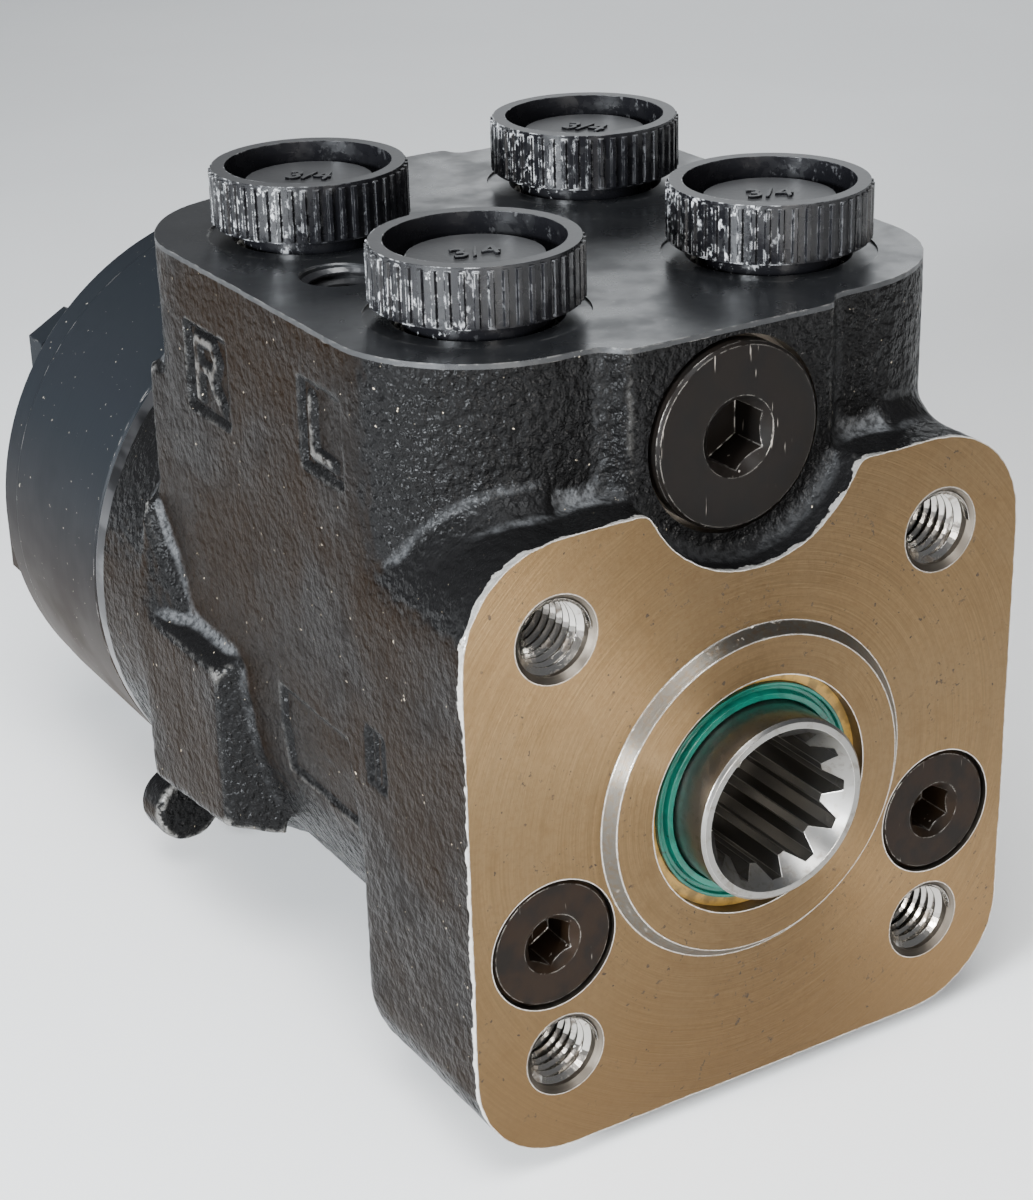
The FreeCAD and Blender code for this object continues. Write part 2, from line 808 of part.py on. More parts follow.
# Shaft seals and the thrust bearing in front of the sleeve
def make_seals():
    """A dust seal in a metal ring, then a pressure seal ring in its own groove."""
    inner = s.journal_r + s.face_gap
    outer = inner + s.seal_wall
    lip = inner + s.seal_lip_wall
    floor = s.seal_floor - s.face_gap
    turned("dust_seal", [
        (inner, s.seal_heel), (inner, s.seal_lip_heel),
        (inner + s.seal_lip_flare, -s.seal_lip_reach), (lip, -s.seal_lip_reach),
        (lip + s.seal_lip_flare, s.seal_hollow), (outer - s.seal_rim_wall, s.seal_hollow),
        (outer - s.seal_rim_flat, -s.seal_rim_reach), (outer, -s.seal_rim_reach),
        (outer, floor), (inner + s.seal_bevel, floor),
    ])
    turned("seal_backing_ring", rectangle(
        outer + s.face_gap, s.seal_bore_r - s.face_gap, s.backing_ring_front, floor,
    ))
    back = s.bearing_shoulder - s.face_gap * 3
    front = s.ring_groove_front + s.face_gap
    edge = s.ring_groove_r - s.face_gap
    turned("shaft_seal_ring", [
        (inner, front + s.seal_bevel), (inner + s.seal_bevel, front), (edge, front), (edge, back),
        (inner + s.seal_bevel, back), (inner, back - s.seal_bevel),
    ])


def make_bearing():
    turned("bearing_outer_race", rectangle(s.race_inner_r, race_r, outer_race_front, outer_race_rear))
    turned("bearing_inner_race", rectangle(s.race_inner_r, race_r, inner_race_front, inner_race_rear))
    cage = new_body("cage_blank")
    half = s.cage_thickness / 2
    inner = s.race_inner_r + s.cage_inner_gap
    outer = race_r - s.cage_outer_gap
    spin(cage, "cage_outline", rectangle(inner, outer, needle_y - half, needle_y + half))
    middle = (float(inner) + float(race_r)) / 2
    start = middle - float(s.needle_length) / 2
    roller = Part.makeCylinder(
        float(s.needle_r), float(s.needle_length),
        FreeCAD.Vector(start, float(needle_y), 0), FreeCAD.Vector(1, 0, 0),
    )
    window = Part.makeCylinder(
        float(s.needle_r + s.face_gap), float(s.needle_length + s.face_gap * 2),
        FreeCAD.Vector(start - float(s.face_gap), float(needle_y), 0), FreeCAD.Vector(1, 0, 0),
    )
    ring = cage.Shape.cut([around_shaft(window, index, NEEDLES) for index in range(NEEDLES)])
    rollers = [around_shaft(roller, index, NEEDLES) for index in range(NEEDLES)]
    shape_feature("needle_thrust_cage", Part.makeCompound(ring.Solids + rollers))


def around_shaft(shape, index, count):
    """A copy turned about the shaft axis by its share of a full turn."""
    copy = shape.copy()
    copy.rotate(FreeCAD.Vector(0, 0, 0), FreeCAD.Vector(0, 1, 0), index * 360.0 / count)
    return copy


# Sleeve, spool and what joins them
def spline_space(body, name, y_from, y_to, shrink=0):
    """One tapered space of the internal spline, seen from the front."""
    wide = s.space_half_wide + s.spline_overlap * space_slope
    low = s.spline_minor_r - s.spline_overlap
    corners = [
        (-wide, low), (wide, low),
        (s.space_half_narrow, s.spline_root_r), (-s.space_half_narrow, s.spline_root_r),
    ]
    sketch = attach(body, name, "XZ", -length(y_from))
    draw_outline(sketch, corners)
    return pocket(body, sketch, length(y_to) - y_from)


def make_spool():
    """A journal with the column's spline in front, and a hollow body behind a solid web."""
    body = new_body("spool")
    mouth = s.spool_front + s.spline_mouth_depth
    points = [
        (s.spline_minor_r, mouth), (s.spline_mouth_r, s.spool_front),
        (s.journal_r - s.edge_break, s.spool_front), (s.journal_r, s.spool_front + s.edge_break),
        (s.journal_r, sleeve_front), (spool_body_r, sleeve_front),
        (spool_body_r, s.spool_rear), (s.spool_bore_r, s.spool_rear), (s.spool_bore_r, s.web_rear),
        (0, s.web_rear), (0, s.spline_end + s.spline_runout), (s.spline_minor_r, s.spline_end),
    ]
    spin(body, "spool_outline", points)
    space = spline_space(body, "spline_space", s.spool_front - s.cut_margin, s.spline_end - s.cut_margin)
    polar(body, space, "Y", SPLINE_TEETH, "spline")
    half = s.spring_half_width + s.spring_side_gap
    slot = s.spring_slot_half
    sketch = attach(body, "spring_slot", "YZ")
    draw_outline(sketch, rectangle(s.spring_y - half, s.spring_y + half, -slot, slot))
    pocket(body, sketch, s.spool_r * THROUGH, midplane=True)
    sketch = attach(body, "pin_slot", "YZ")
    reach = s.pin_r + s.pin_play
    half = s.pin_r + s.pin_slot_gap
    draw_outline(sketch, rectangle(s.pin_y - half, s.pin_y + half, -reach, reach))
    pocket(body, sketch, s.spool_r * THROUGH, midplane=True)
    return body


def make_sleeve():
    """The outer valve sleeve with its metering grooves, port rows and commutator holes."""
    body = new_body("sleeve")
    groove_r = sleeve_r - s.sleeve_groove_depth
    half = s.sleeve_groove_half
    ring_half = s.spring_half_width + s.spring_groove_gap
    ring_r = sleeve_r - s.spring_ring_depth
    stations = [s.front_port_y + s.middle_groove_shift, s.rear_port_y]
    points = [
        (s.spool_r, sleeve_front), (sleeve_r, sleeve_front),
        (sleeve_r, s.spring_y - ring_half), (ring_r, s.spring_y - ring_half),
        (ring_r, s.spring_y + ring_half), (sleeve_r, s.spring_y + ring_half),
    ]
    for station in stations:
        points += [
            (sleeve_r, station - half), (groove_r, station - half),
            (groove_r, station + half), (sleeve_r, station + half),
        ]
    points += [(sleeve_r, sleeve_rear), (s.spool_r, sleeve_rear)]
    spin(body, "sleeve_outline", points)
    for index, station in enumerate(stations + [s.rear_port_y + s.commutator_shift]):
        row = drill_down(body, f"port_row_{index}", s.bore_r * 2, s.bore_r * 2, [(0, station)], s.sleeve_port_r)
        polar(body, row, "Y", ROLLERS - 1, f"port_row_{index}_ring")
    slot = s.spring_slot_half + s.sleeve_slot_gap
    half = s.spring_half_width + s.spring_side_gap
    sketch = attach(body, "sleeve_spring_slot", "YZ")
    draw_outline(sketch, rectangle(s.spring_y - half, s.spring_y + half, -slot, slot))
    pocket(body, sketch, s.bore_r * THROUGH, midplane=True)
    sketch = attach(body, "sleeve_pin_hole", "YZ")
    draw_circle(sketch, (s.pin_y, 0), s.pin_r + s.pin_gap)
    pocket(body, sketch, s.bore_r * THROUGH, midplane=True)
    return body


def make_cross_pin():
    body = new_body("cross_pin")
    sketch = attach(body, "pin_outline", "YZ")
    draw_circle(sketch, (s.pin_y, 0), s.pin_r)
    feature = pad(body, sketch, (s.bore_r - s.pin_end_gap) * 2, rearward=False)
    feature.Midplane = True
    doc.recompute()


def make_centring_springs():
    """Six leaves across the spool: arched ones press on the slot's walls."""
    reach = float(s.bore_r - s.spring_ring_depth - s.leaf_end_gap)
    low = float(s.spring_y - s.spring_half_width)
    width = float(s.spring_half_width) * 2
    thick = float(s.leaf_thickness)
    step = thick + float(s.leaf_gap)
    leaves = []
    for side in (-1, 1):
        for index in range(3):
            middle = side * (step * index + float(s.leaf_gap) / 2)
            arch = side * (float(s.leaf_arch) if index else 0)
            leaves.append(leaf(reach, low, width, middle, middle + side * thick, arch))
    shape_feature("centring_springs", Part.makeCompound(leaves))


def leaf(reach, low, width, inner, outer, arch):
    """One leaf of the stack, arched along its length."""
    def corner(x, z):
        return FreeCAD.Vector(x, low, z)

    if arch:
        inside = Part.Arc(corner(-reach, inner + arch), corner(0, inner), corner(reach, inner + arch)).toShape()
        outside = Part.Arc(corner(-reach, outer + arch), corner(0, outer), corner(reach, outer + arch)).toShape()
    else:
        inside = Part.makeLine(corner(-reach, inner), corner(reach, inner))
        outside = Part.makeLine(corner(-reach, outer), corner(reach, outer))
    ends = [
        Part.makeLine(corner(x, inner + arch), corner(x, outer + arch)) for x in (-reach, reach)
    ]
    wire = Part.Wire(Part.__sortEdges__([inside, outside] + ends))
    return Part.Face(wire).extrude(FreeCAD.Vector(0, width, 0))


def make_spring_ring():
    half = s.spring_half_width + s.spring_ring_gap
    inner = sleeve_r - s.spring_ring_depth + s.running_gap
    turned("spring_retaining_ring", rectangle(
        inner, sleeve_r, s.spring_y - half, s.spring_y + half,
    ))


def make_cardan():
    """The drive link: a forked head on the cross pin and a splined head in the rotor.

    It is modelled along the shaft axis and tipped so that its rear end follows the rotor.
    """
    front = s.web_rear + s.cardan_front_gap
    taper = s.cardan_taper
    bevel = s.cardan_chamfer
    neck = s.pin_y + s.pin_r + taper
    spline_front = s.cardan_spline_front
    gap = s.cardan_tooth_gap
    core = s.spline_minor_r - gap * 2
    end = s.cardan_spline_end
    body = new_body("cardan_blank")
    points = [
        (0, front), (s.cardan_head_r - bevel, front), (s.cardan_head_r, front + bevel),
        (s.cardan_head_r, neck), (s.cardan_neck_r, neck + taper), (s.cardan_neck_r, spline_front - taper),
        (core, spline_front), (core, end), (core - bevel, end + bevel), (0, end + bevel),
    ]
    spin(body, "cardan_outline", points)
    low = core - s.tooth_root_overlap
    high = s.spline_root_r - gap
    low_half = s.space_half_wide + (s.spline_minor_r - low) * space_slope - gap
    high_half = s.space_half_wide - (high - s.spline_minor_r) * space_slope - gap
    corners = [(-low_half, low), (low_half, low), (high_half, high), (-high_half, high)]
    tooth = bar(body, "cardan_tooth", spline_front, end, corners)
    polar(body, tooth, "Y", SPLINE_TEETH, "cardan_spline")
    sketch = attach(body, "fork_slot", "YZ")
    slot = s.pin_r + s.pin_gap * 2
    fork_end = s.pin_y + s.pin_r + s.fork_end_gap
    draw_outline(sketch, rectangle(front - s.cut_margin, fork_end, -slot, slot))
    pocket(body, sketch, s.cardan_head_r * THROUGH, midplane=True)
    tipped = body.Shape.copy()
    rotor_y = float(s.cardan_spline_front + s.cardan_spline_end) / 2
    tilt = math.degrees(math.atan2(float(s.eccentricity), rotor_y - float(s.pin_y)))
    tipped.rotate(FreeCAD.Vector(0, float(s.pin_y), 0), FreeCAD.Vector(1, 0, 0), tilt)
    shape_feature("cardan_shaft", tipped.Solids[0])


# Gerotor stack behind the housing
def make_plate():
    """The distribution plate passes oil to the chambers between the lobes."""
    body = new_body("distribution_plate")
    round_bar(body, "plate_disc", plate_front, ring_front, (0, 0), s.ring_r)
    near = plate_front - s.cut_margin
    far = ring_front + s.cut_margin
    drill(body, "plate_hole", near, far, [(0, 0)], s.plate_hole_r)
    drill(body, "plate_screw_holes", near, far, SCREW_PLACES, screw_hole_r)
    turns = [math.radians(TOP_DEGREES + (index + 0.5) * SCREW_STEP) for index in range(ROLLERS)]
    slots = [(s.slot_circle * math.cos(turn), s.slot_circle * math.sin(turn)) for turn in turns]
    drill(body, "oil_slots", near, far, slots, s.slot_r)


def make_gear_ring():
    """Seven half-round lobes stand inside the ring, each drilled for a stack screw."""
    body = new_body("gear_ring")
    points = [
        (0, ring_front), (s.ring_r - s.stack_chamfer, ring_front), (s.ring_r, ring_front + s.stack_chamfer),
        (s.ring_r, cover_front), (0, cover_front),
    ]
    spin(body, "ring_blank", points)
    near = ring_front - s.cut_margin
    far = cover_front + s.cut_margin
    drill(body, "ring_cavity", near, far, [(0, 0)], ring_valley_r)
    lobe = round_bar(body, "lobe", ring_front, cover_front, (0, s.roller_circle), s.roller_r)
    polar(body, lobe, "Y", ROLLERS, "lobes")
    drill(body, "ring_screw_holes", near, far, SCREW_PLACES, screw_hole_r)
    o_ring_groove(body, near, ring_front + o_ring_groove_depth)
    o_ring_groove(body, cover_front - o_ring_groove_depth, far)


def rotor_outline():
    """The curve that stays in touch with all seven lobes, as a closed spline.

    The centre of a lobe, seen from the rotor, runs along an epitrochoid; the rotor is
    that curve moved inward by the lobe's radius and the running gap.
    """
    reach = float(s.roller_circle)
    shift = float(s.eccentricity)
    inset = float(s.roller_r + s.gerotor_gap)
    samples = (ROLLERS - 1) * OUTLINE_SAMPLES
    spots = []
    for index in range(samples):
        turn = 2 * math.pi * index / samples
        across = reach * math.cos(turn) - shift * math.cos(ROLLERS * turn)
        upward = reach * math.sin(turn) - shift * math.sin(ROLLERS * turn)
        slope_x = -reach * math.sin(turn) + shift * ROLLERS * math.sin(ROLLERS * turn)
        slope_z = reach * math.cos(turn) - shift * ROLLERS * math.cos(ROLLERS * turn)
        size = math.hypot(slope_x, slope_z)
        across -= inset * slope_z / size
        upward += inset * slope_x / size
        spots.append((-upward, across))
    return spots


def make_rotor():
    """The star: six teeth outside and the cardan's spline inside."""
    front = float(ring_front + s.running_gap)
    rear = float(cover_front - s.running_gap)
    curve = Part.BSplineCurve()
    spots = [FreeCAD.Vector(x, front, z) for x, z in rotor_outline()]
    curve.interpolate(Points=spots, PeriodicFlag=True)
    along = FreeCAD.Vector(0, rear - front, 0)
    star = Part.Face(Part.Wire([curve.toShape()])).extrude(along)
    bore = Part.makeCylinder(
        float(s.spline_minor_r), rear - front, FreeCAD.Vector(0, front, 0), FreeCAD.Vector(0, 1, 0),
    )
    wide = float(s.space_half_wide + s.spline_overlap * space_slope)
    low = float(s.spline_minor_r - s.spline_overlap)
    corners = [
        (-wide, low), (wide, low),
        (float(s.space_half_narrow), float(s.spline_root_r)),
        (-float(s.space_half_narrow), float(s.spline_root_r)), (-wide, low),
    ]
    space = Part.Face(Part.makePolygon([FreeCAD.Vector(x, front, z) for x, z in corners])).extrude(along)
    spaces = [around_shaft(space, index, SPLINE_TEETH) for index in range(SPLINE_TEETH)]
    star = star.cut([bore] + spaces)
    star.translate(FreeCAD.Vector(0, 0, float(s.eccentricity)))
    shape_feature("rotor", star.Solids[0])


def make_spacer():
    """A loose round spacer behind the cardan keeps it from sliding back."""
    front = s.cardan_spline_end + s.spacer_gap
    outer = s.spline_minor_r - s.spacer_side_gap
    bevel = s.spacer_chamfer
    turned("rotor_spacer", [
        (0, front), (outer - bevel, front), (outer, front + bevel),
        (outer, cover_front - s.running_gap), (0, cover_front - s.running_gap),
    ], (0, 0, s.eccentricity))


def make_cover():
    body = new_body("end_cover")
    points = [
        (0, cover_front), (s.cover_r, cover_front), (s.cover_r, cover_rear - s.stack_chamfer),
        (s.cover_r - s.stack_chamfer, cover_rear), (0, cover_rear),
    ]
    spin(body, "cover_outline", points)
    near = cover_front - s.cut_margin
    far = cover_rear + s.cut_margin
    drill(body, "cover_screw_holes", near, far, SCREW_PLACES, screw_hole_r)


def make_o_rings():
    """One ring seals each joint of the stack, outside the screws."""
    stations = {
        "o_ring_front": s.housing_length - s.o_ring_r - s.face_gap,
        "o_ring_middle": ring_front + s.o_ring_r + s.face_gap,
        "o_ring_rear": cover_front - s.o_ring_r - s.face_gap,
    }
    for name, station in stations.items():
        body = new_body(name)
        sketch = attach(body, f"{name}_section", "XY")
        draw_circle(sketch, (s.o_ring_circle, station), s.o_ring_r)
        feature = body.newObject("PartDesign::Revolution", f"{name}_turn")
        feature.Profile = sketch
        feature.ReferenceAxis = (sketch, ["V_Axis"])
        feature.Angle = 360
        doc.recompute()


def screw_blank(name, nose=None):
    """A hexagon screw standing on the shaft axis, head to the rear."""
    body = new_body(name)
    start = screw_end
    bevel = s.screw_chamfer
    root = head_front + s.head_overlap
    points = [(0, start), (s.screw_r - bevel, start), (s.screw_r, start + bevel), (s.screw_r, root)]
    if nose is not None:
        points = [
            (0, nose), (s.rolled_pin_r, nose), (s.rolled_pin_r, start), (s.screw_r, start), (s.screw_r, root),
        ]
    points += [(0, root)]
    spin(body, f"{name}_shank", points)
    bar(body, f"{name}_head", head_front, head_front + s.screw_head, hexagon(s.screw_flats))
    return body


def place_at_screw(shape, index):
    copy = shape.copy()
    x, z = SCREW_PLACES[index]
    copy.translate(FreeCAD.Vector(float(x), 0, float(z)))
    return copy


def make_screws():
    """Six plain screws and one whose nose keeps the check ball in, on sealing washers."""
    plain = screw_blank("screw_blank").Shape
    nosed = screw_blank("nosed_screw_blank", check_stop_y).Shape
    washer = turned("washer_blank", rectangle(
        s.screw_r + s.washer_gap, s.washer_r, cover_rear, head_front,
    )).Shape
    others = [index for index in range(ROLLERS) if index != CHECK_SCREW]
    screws = [place_at_screw(plain, index) for index in others]
    shape_feature("cover_screws", Part.makeCompound(screws))
    shape_feature("pin_screw", place_at_screw(nosed, CHECK_SCREW).Solids[0])
    washers = [place_at_screw(washer, index) for index in range(ROLLERS)]
    shape_feature("screw_washers", Part.makeCompound(washers))


def ball(name, place, radius):
    """A ground ball, turned from a half disc."""
    body = new_body(name, place)
    sketch = attach(body, f"{name}_half", "XY")
    radius = length(radius)
    start = FreeCAD.Vector(0, -radius.number, 0)
    end = FreeCAD.Vector(0, radius.number, 0)
    sketch.addGeometry(Part.Arc(start, FreeCAD.Vector(radius.number, 0, 0), end))
    sketch.addGeometry(Part.LineSegment(end, start))
    sketch.addConstraint(Sketcher.Constraint("Coincident", 0, 2, 1, 1))
    sketch.addConstraint(Sketcher.Constraint("Coincident", 0, 1, 1, 2))
    sketch.addConstraint(Sketcher.Constraint("Coincident", 0, 3, -1, 1))
    sketch.addConstraint(Sketcher.Constraint("PointOnObject", 0, 1, -2))
    sketch.addConstraint(Sketcher.Constraint("PointOnObject", 0, 2, -2))
    number = sketch.addConstraint(Sketcher.Constraint("Radius", 0, radius.number))
    bind(sketch, f"Constraints[{number}]", radius)
    feature = body.newObject("PartDesign::Revolution", f"{name}_turn")
    feature.Profile = sketch
    feature.ReferenceAxis = (sketch, ["V_Axis"])
    feature.Angle = 360
    doc.recompute()


def make_check_balls():
    """A check ball and two suction balls sit at the bottom of their screw holes."""
    x, z = SCREW_PLACES[CHECK_SCREW]
    ball("check_ball", (x, check_ball_y, z), s.check_ball_r)
    for side, index in SUCTION_SCREWS.items():
        x, z = SCREW_PLACES[index]
        ball(f"suction_ball_{side}", (x, check_ball_y, z), s.check_ball_r)
        turned(f"suction_pin_{side}", rectangle(
            s.rolled_pin_bore, s.rolled_pin_r, check_stop_y, screw_end - s.rolled_pin_gap,
        ), (x, 0, z))


# Plugs and valves in the front face
def socket_plug(name, place, head_r, face, head_rear, thread_r, end, flats, depth):
    """A flanged plug with a hexagon socket and a countersunk mouth."""
    body = new_body(name, place)
    edge = s.edge_break
    bevel = s.plug_chamfer
    points = [
        (0, face), (head_r - edge, face), (head_r, face + edge), (head_r, head_rear),
        (thread_r, head_rear), (thread_r, end - bevel), (thread_r - bevel, end), (0, end),
    ]
    spin(body, f"{name}_outline", points)
    sketch = attach(body, f"{name}_socket", "XZ", -length(face))
    draw_outline(sketch, hexagon(flats))
    pocket(body, sketch, depth)
    rim = flats / math.sqrt(3) + s.socket_chamfer
    mouth = body.newObject("PartDesign::Groove", f"{name}_mouth")
    sketch = attach(body, f"{name}_cone", "XY")
    start = face - s.cut_margin
    draw_outline(sketch, [(0, start), (rim + s.cut_margin, start), (0, face + rim)])
    mouth.Profile = sketch
    mouth.ReferenceAxis = (sketch, ["V_Axis"])
    mouth.Angle = 360
    body.Tip = mouth
    doc.recompute()
    return body


def coil_spring(name, place, radius, wire_r, y_from, y_to, turns):
    """A round-wire spring along Y with its ends cut square by the path's ends."""
    rise = float(y_to) - float(y_from) - 2 * float(wire_r)
    path = Part.makeHelix(rise / turns, rise, float(radius))
    start = FreeCAD.Vector(float(radius), 0, 0)
    section = Part.Wire(Part.makeCircle(float(wire_r), start, FreeCAD.Vector(0, 1, 0)))
    spring = Part.Wire(path).makePipeShell([section], True, True)
    spring.rotate(FreeCAD.Vector(0, 0, 0), FreeCAD.Vector(1, 0, 0), -90)
    x, z = place
    spring.translate(FreeCAD.Vector(float(x), float(y_from) + float(wire_r), float(z)))
    shape_feature(name, spring)


def make_relief_valve():
    """Plug, adjusting screw, spring, poppet and seat, one behind the other."""
    place = (0, 0, s.relief_z)
    head_rear = s.spotface_floor - s.seal_washer - s.face_gap
    socket_plug(
        "relief_plug", place, s.collar_r, s.collar_face, head_rear,
        s.relief_thread_r, s.relief_plug_end, s.relief_flats, s.relief_socket_depth,
    )
    turned("relief_plug_washer", rectangle(
        s.relief_thread_r + s.face_gap, s.collar_r, head_rear, s.spotface_floor,
    ), place)
    guide = s.relief_bore_r - s.face_gap
    front = s.relief_screw_front
    screw_rear = front + s.relief_screw_length
    bevel = s.adjust_chamfer
    body = turned("relief_adjust_screw", [
        (0, front), (guide - bevel, front), (guide, front + bevel),
        (guide, screw_rear), (0, screw_rear),
    ], place)
    sketch = attach(body, "adjust_socket", "XZ", -front)
    draw_outline(sketch, hexagon(s.shock_flats))
    pocket(body, sketch, s.relief_screw_length - s.adjust_floor)
    coil_spring(
        "relief_spring", (0, s.relief_z), s.relief_spring_r, s.relief_wire_r,
        screw_rear + s.face_gap, s.relief_poppet_front - s.face_gap, RELIEF_TURNS,
    )
    seat = s.relief_seat_r
    front = s.relief_poppet_front
    skirt = front + s.poppet_skirt
    cone = s.relief_seat_front - seat * POPPET_CONE_SHARE - s.face_gap
    tip = s.relief_seat_front + seat * POPPET_CONE_SHARE
    turned("relief_poppet", [
        (0, front), (guide, front), (guide, skirt),
        (seat * POPPET_BODY_SHARE, skirt), (seat * POPPET_BODY_SHARE, cone),
        (seat * POPPET_TIP_SHARE, tip), (0, tip),
    ], place)
    turned("relief_seat", [
        (seat, s.relief_seat_front), (guide, s.relief_seat_front),
        (guide, s.relief_bore_end - s.face_gap), (seat, s.relief_bore_end - s.face_gap),
    ], place)


def make_shock_valves():
    """Each flush plug closes a bore with a set screw, a spring and a ball on its seat."""
    for side, word in ((-1, "left"), (1, "right")):
        x = side * s.shock_x
        place = (x, 0, -s.shock_z)
        head_rear = s.shock_counterbore_floor - s.seal_washer - s.face_gap
        socket_plug(
            f"shock_plug_{word}", place, s.shock_head_r, s.shock_head_face, head_rear,
            s.shock_thread_r, s.shock_plug_end, s.shock_flats, s.shock_socket_depth,
        )
        turned(f"shock_washer_{word}", rectangle(
            s.shock_thread_r + s.face_gap, s.shock_head_r, head_rear, s.shock_counterbore_floor,
        ), place)
        guide = s.shock_bore_r - s.face_gap
        screw_rear = s.shock_screw_front + s.shock_screw_length
        turned(f"shock_set_screw_{word}", rectangle(
            s.set_screw_bore_r, guide, s.shock_screw_front, screw_rear,
        ), place)
        ball_y = s.shock_bore_end - s.shock_ball_r - s.face_gap
        ball(f"shock_ball_{word}", (x, ball_y, -s.shock_z), s.shock_ball_r)
        coil_spring(
            f"shock_spring_{word}", (x, -s.shock_z), s.shock_spring_r, s.shock_wire_r,
            screw_rear + s.face_gap, ball_y - s.shock_ball_r * BALL_SPRING_SHARE, SHOCK_TURNS,
        )


# Plastic transport caps in the four ports
def make_cap(name, place):
    """A knurled rim, a closed disc in a channel, and a tube that stands in the port."""
    body = new_body(name, place)
    rim = s.cap_r
    inside = rim - s.cap_wall
    floor = s.cap_bottom + s.cap_floor
    disc = s.cap_top - s.cap_disc_drop
    tube_end = s.cap_bottom - s.cap_tube_depth
    bore = s.cap_tube_r - s.cap_tube_wall
    bevel = s.cap_tube_chamfer
    points = [
        (0, disc), (s.cap_disc_r, disc), (s.cap_disc_r + s.cap_draft, floor), (inside, floor),
        (inside, s.cap_top), (rim, s.cap_top), (rim, s.cap_bottom), (s.cap_tube_r, s.cap_bottom),
        (s.cap_tube_r, tube_end + bevel), (s.cap_tube_r - bevel, tube_end), (bore, tube_end),
        (bore, disc - s.cap_disc_thickness), (0, disc - s.cap_disc_thickness),
    ]
    spin(body, f"{name}_outline", points, "Z")
    sketch = attach(body, f"{name}_ridge", "XY", s.cap_bottom + s.ridge_start)
    half = rim * (math.pi / CAP_RIDGES * RIDGE_SHARE)
    crest = half * CREST_SHARE
    root = rim - s.ridge_root
    draw_outline(sketch, [
        (root, -half), (rim + s.cap_ridge, -crest), (rim + s.cap_ridge, crest), (root, half),
    ])
    ridge = pad(body, sketch, s.cap_top - s.cap_bottom - s.ridge_short, rearward=False)
    polar(body, ridge, "Z", CAP_RIDGES, f"{name}_knurl")


def make_caps():
    """The caps are numbered from the front left, across and then back."""
    number = 0
    for y in (s.front_port_y, s.rear_port_y):
        for side in COLUMN_SIDES:
            number += 1
            make_cap(f"port_cap_{number}", (side * s.port_x, y, 0))


# Build, check and write every piece
make_housing()
make_seals()
make_bearing()
make_sleeve()
make_spool()
make_cross_pin()
make_centring_springs()
make_spring_ring()
make_cardan()
make_plate()
make_gear_ring()
make_rotor()
make_spacer()
make_cover()
make_o_rings()
make_screws()
make_check_balls()
make_relief_valve()
make_shock_valves()
make_caps()
doc.recompute()

faults = [item.Name for item in doc.Objects if {"Invalid", "Error"} & set(item.State)]
if faults:
    raise RuntimeError(f"these objects failed: {faults}")

pieces = [
    item for item in doc.Objects
    if item.TypeId in ("PartDesign::Body", "Part::Feature") and not item.Label.endswith("_blank")
]
os.makedirs("parts", exist_ok=True)
for piece in pieces:
    if piece.Shape.isNull() or not piece.Shape.isValid() or not piece.Shape.Solids:
        raise RuntimeError(f"{piece.Label} has no sound solid")
for piece in pieces:
    if not re.fullmatch(r"[a-z0-9_]{1,59}", piece.Label):
        raise RuntimeError(f"{piece.Label} is no file name")
    piece.Shape.exportStep(f"parts/{piece.Label}.step")
    box = piece.Shape.BoundBox
    print(
        f"{piece.Label}: {len(piece.Shape.Solids)} solids, {piece.Shape.Volume:.1f} mm3, "
        f"x {box.XMin:.2f}..{box.XMax:.2f}, y {box.YMin:.2f}..{box.YMax:.2f}, z {box.ZMin:.2f}..{box.ZMax:.2f}"
    )
print(len(pieces), "pieces")
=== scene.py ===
# %% [markdown]
# # Dressing an orbital steering unit
# This lesson takes the plain solids of a hydraulic steering unit and gives them the
# look of the real thing: a black painted iron casting with a bare milled front, a
# polished spool in a green seal, black plugs, plastic caps and a smooth gerotor stack.
# The solids come first, as a fixed frame, because everything else is placed on them.

# %% Load the frame
import json
import math

import bmesh
import bpy
from mathutils import Matrix, Vector, noise


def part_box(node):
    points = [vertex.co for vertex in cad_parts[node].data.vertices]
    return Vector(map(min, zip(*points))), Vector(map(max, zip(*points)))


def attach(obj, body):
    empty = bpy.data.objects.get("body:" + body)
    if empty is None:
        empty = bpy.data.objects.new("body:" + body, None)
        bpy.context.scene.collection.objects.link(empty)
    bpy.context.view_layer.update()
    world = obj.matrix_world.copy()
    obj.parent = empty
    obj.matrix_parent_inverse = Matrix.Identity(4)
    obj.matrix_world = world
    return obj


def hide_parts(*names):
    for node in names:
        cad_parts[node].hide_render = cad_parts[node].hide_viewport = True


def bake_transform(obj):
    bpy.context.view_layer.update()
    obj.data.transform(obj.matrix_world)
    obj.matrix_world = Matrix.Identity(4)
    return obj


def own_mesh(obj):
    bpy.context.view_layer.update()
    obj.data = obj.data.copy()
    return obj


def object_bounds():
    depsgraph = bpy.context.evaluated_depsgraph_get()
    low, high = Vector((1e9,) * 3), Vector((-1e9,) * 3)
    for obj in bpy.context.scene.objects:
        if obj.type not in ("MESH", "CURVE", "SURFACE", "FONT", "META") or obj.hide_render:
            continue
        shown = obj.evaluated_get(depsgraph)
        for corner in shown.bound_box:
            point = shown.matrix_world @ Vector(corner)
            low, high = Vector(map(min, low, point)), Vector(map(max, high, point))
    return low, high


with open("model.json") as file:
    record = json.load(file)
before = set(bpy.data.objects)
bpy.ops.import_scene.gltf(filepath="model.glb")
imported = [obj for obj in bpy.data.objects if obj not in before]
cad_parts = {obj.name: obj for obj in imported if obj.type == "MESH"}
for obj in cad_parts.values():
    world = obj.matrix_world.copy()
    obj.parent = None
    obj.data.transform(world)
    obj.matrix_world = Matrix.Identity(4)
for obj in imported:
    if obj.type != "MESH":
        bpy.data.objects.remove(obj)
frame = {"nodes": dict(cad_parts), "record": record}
nodes = frame["nodes"]
cad_box = [list(corner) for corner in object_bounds()]
MM = 0.001


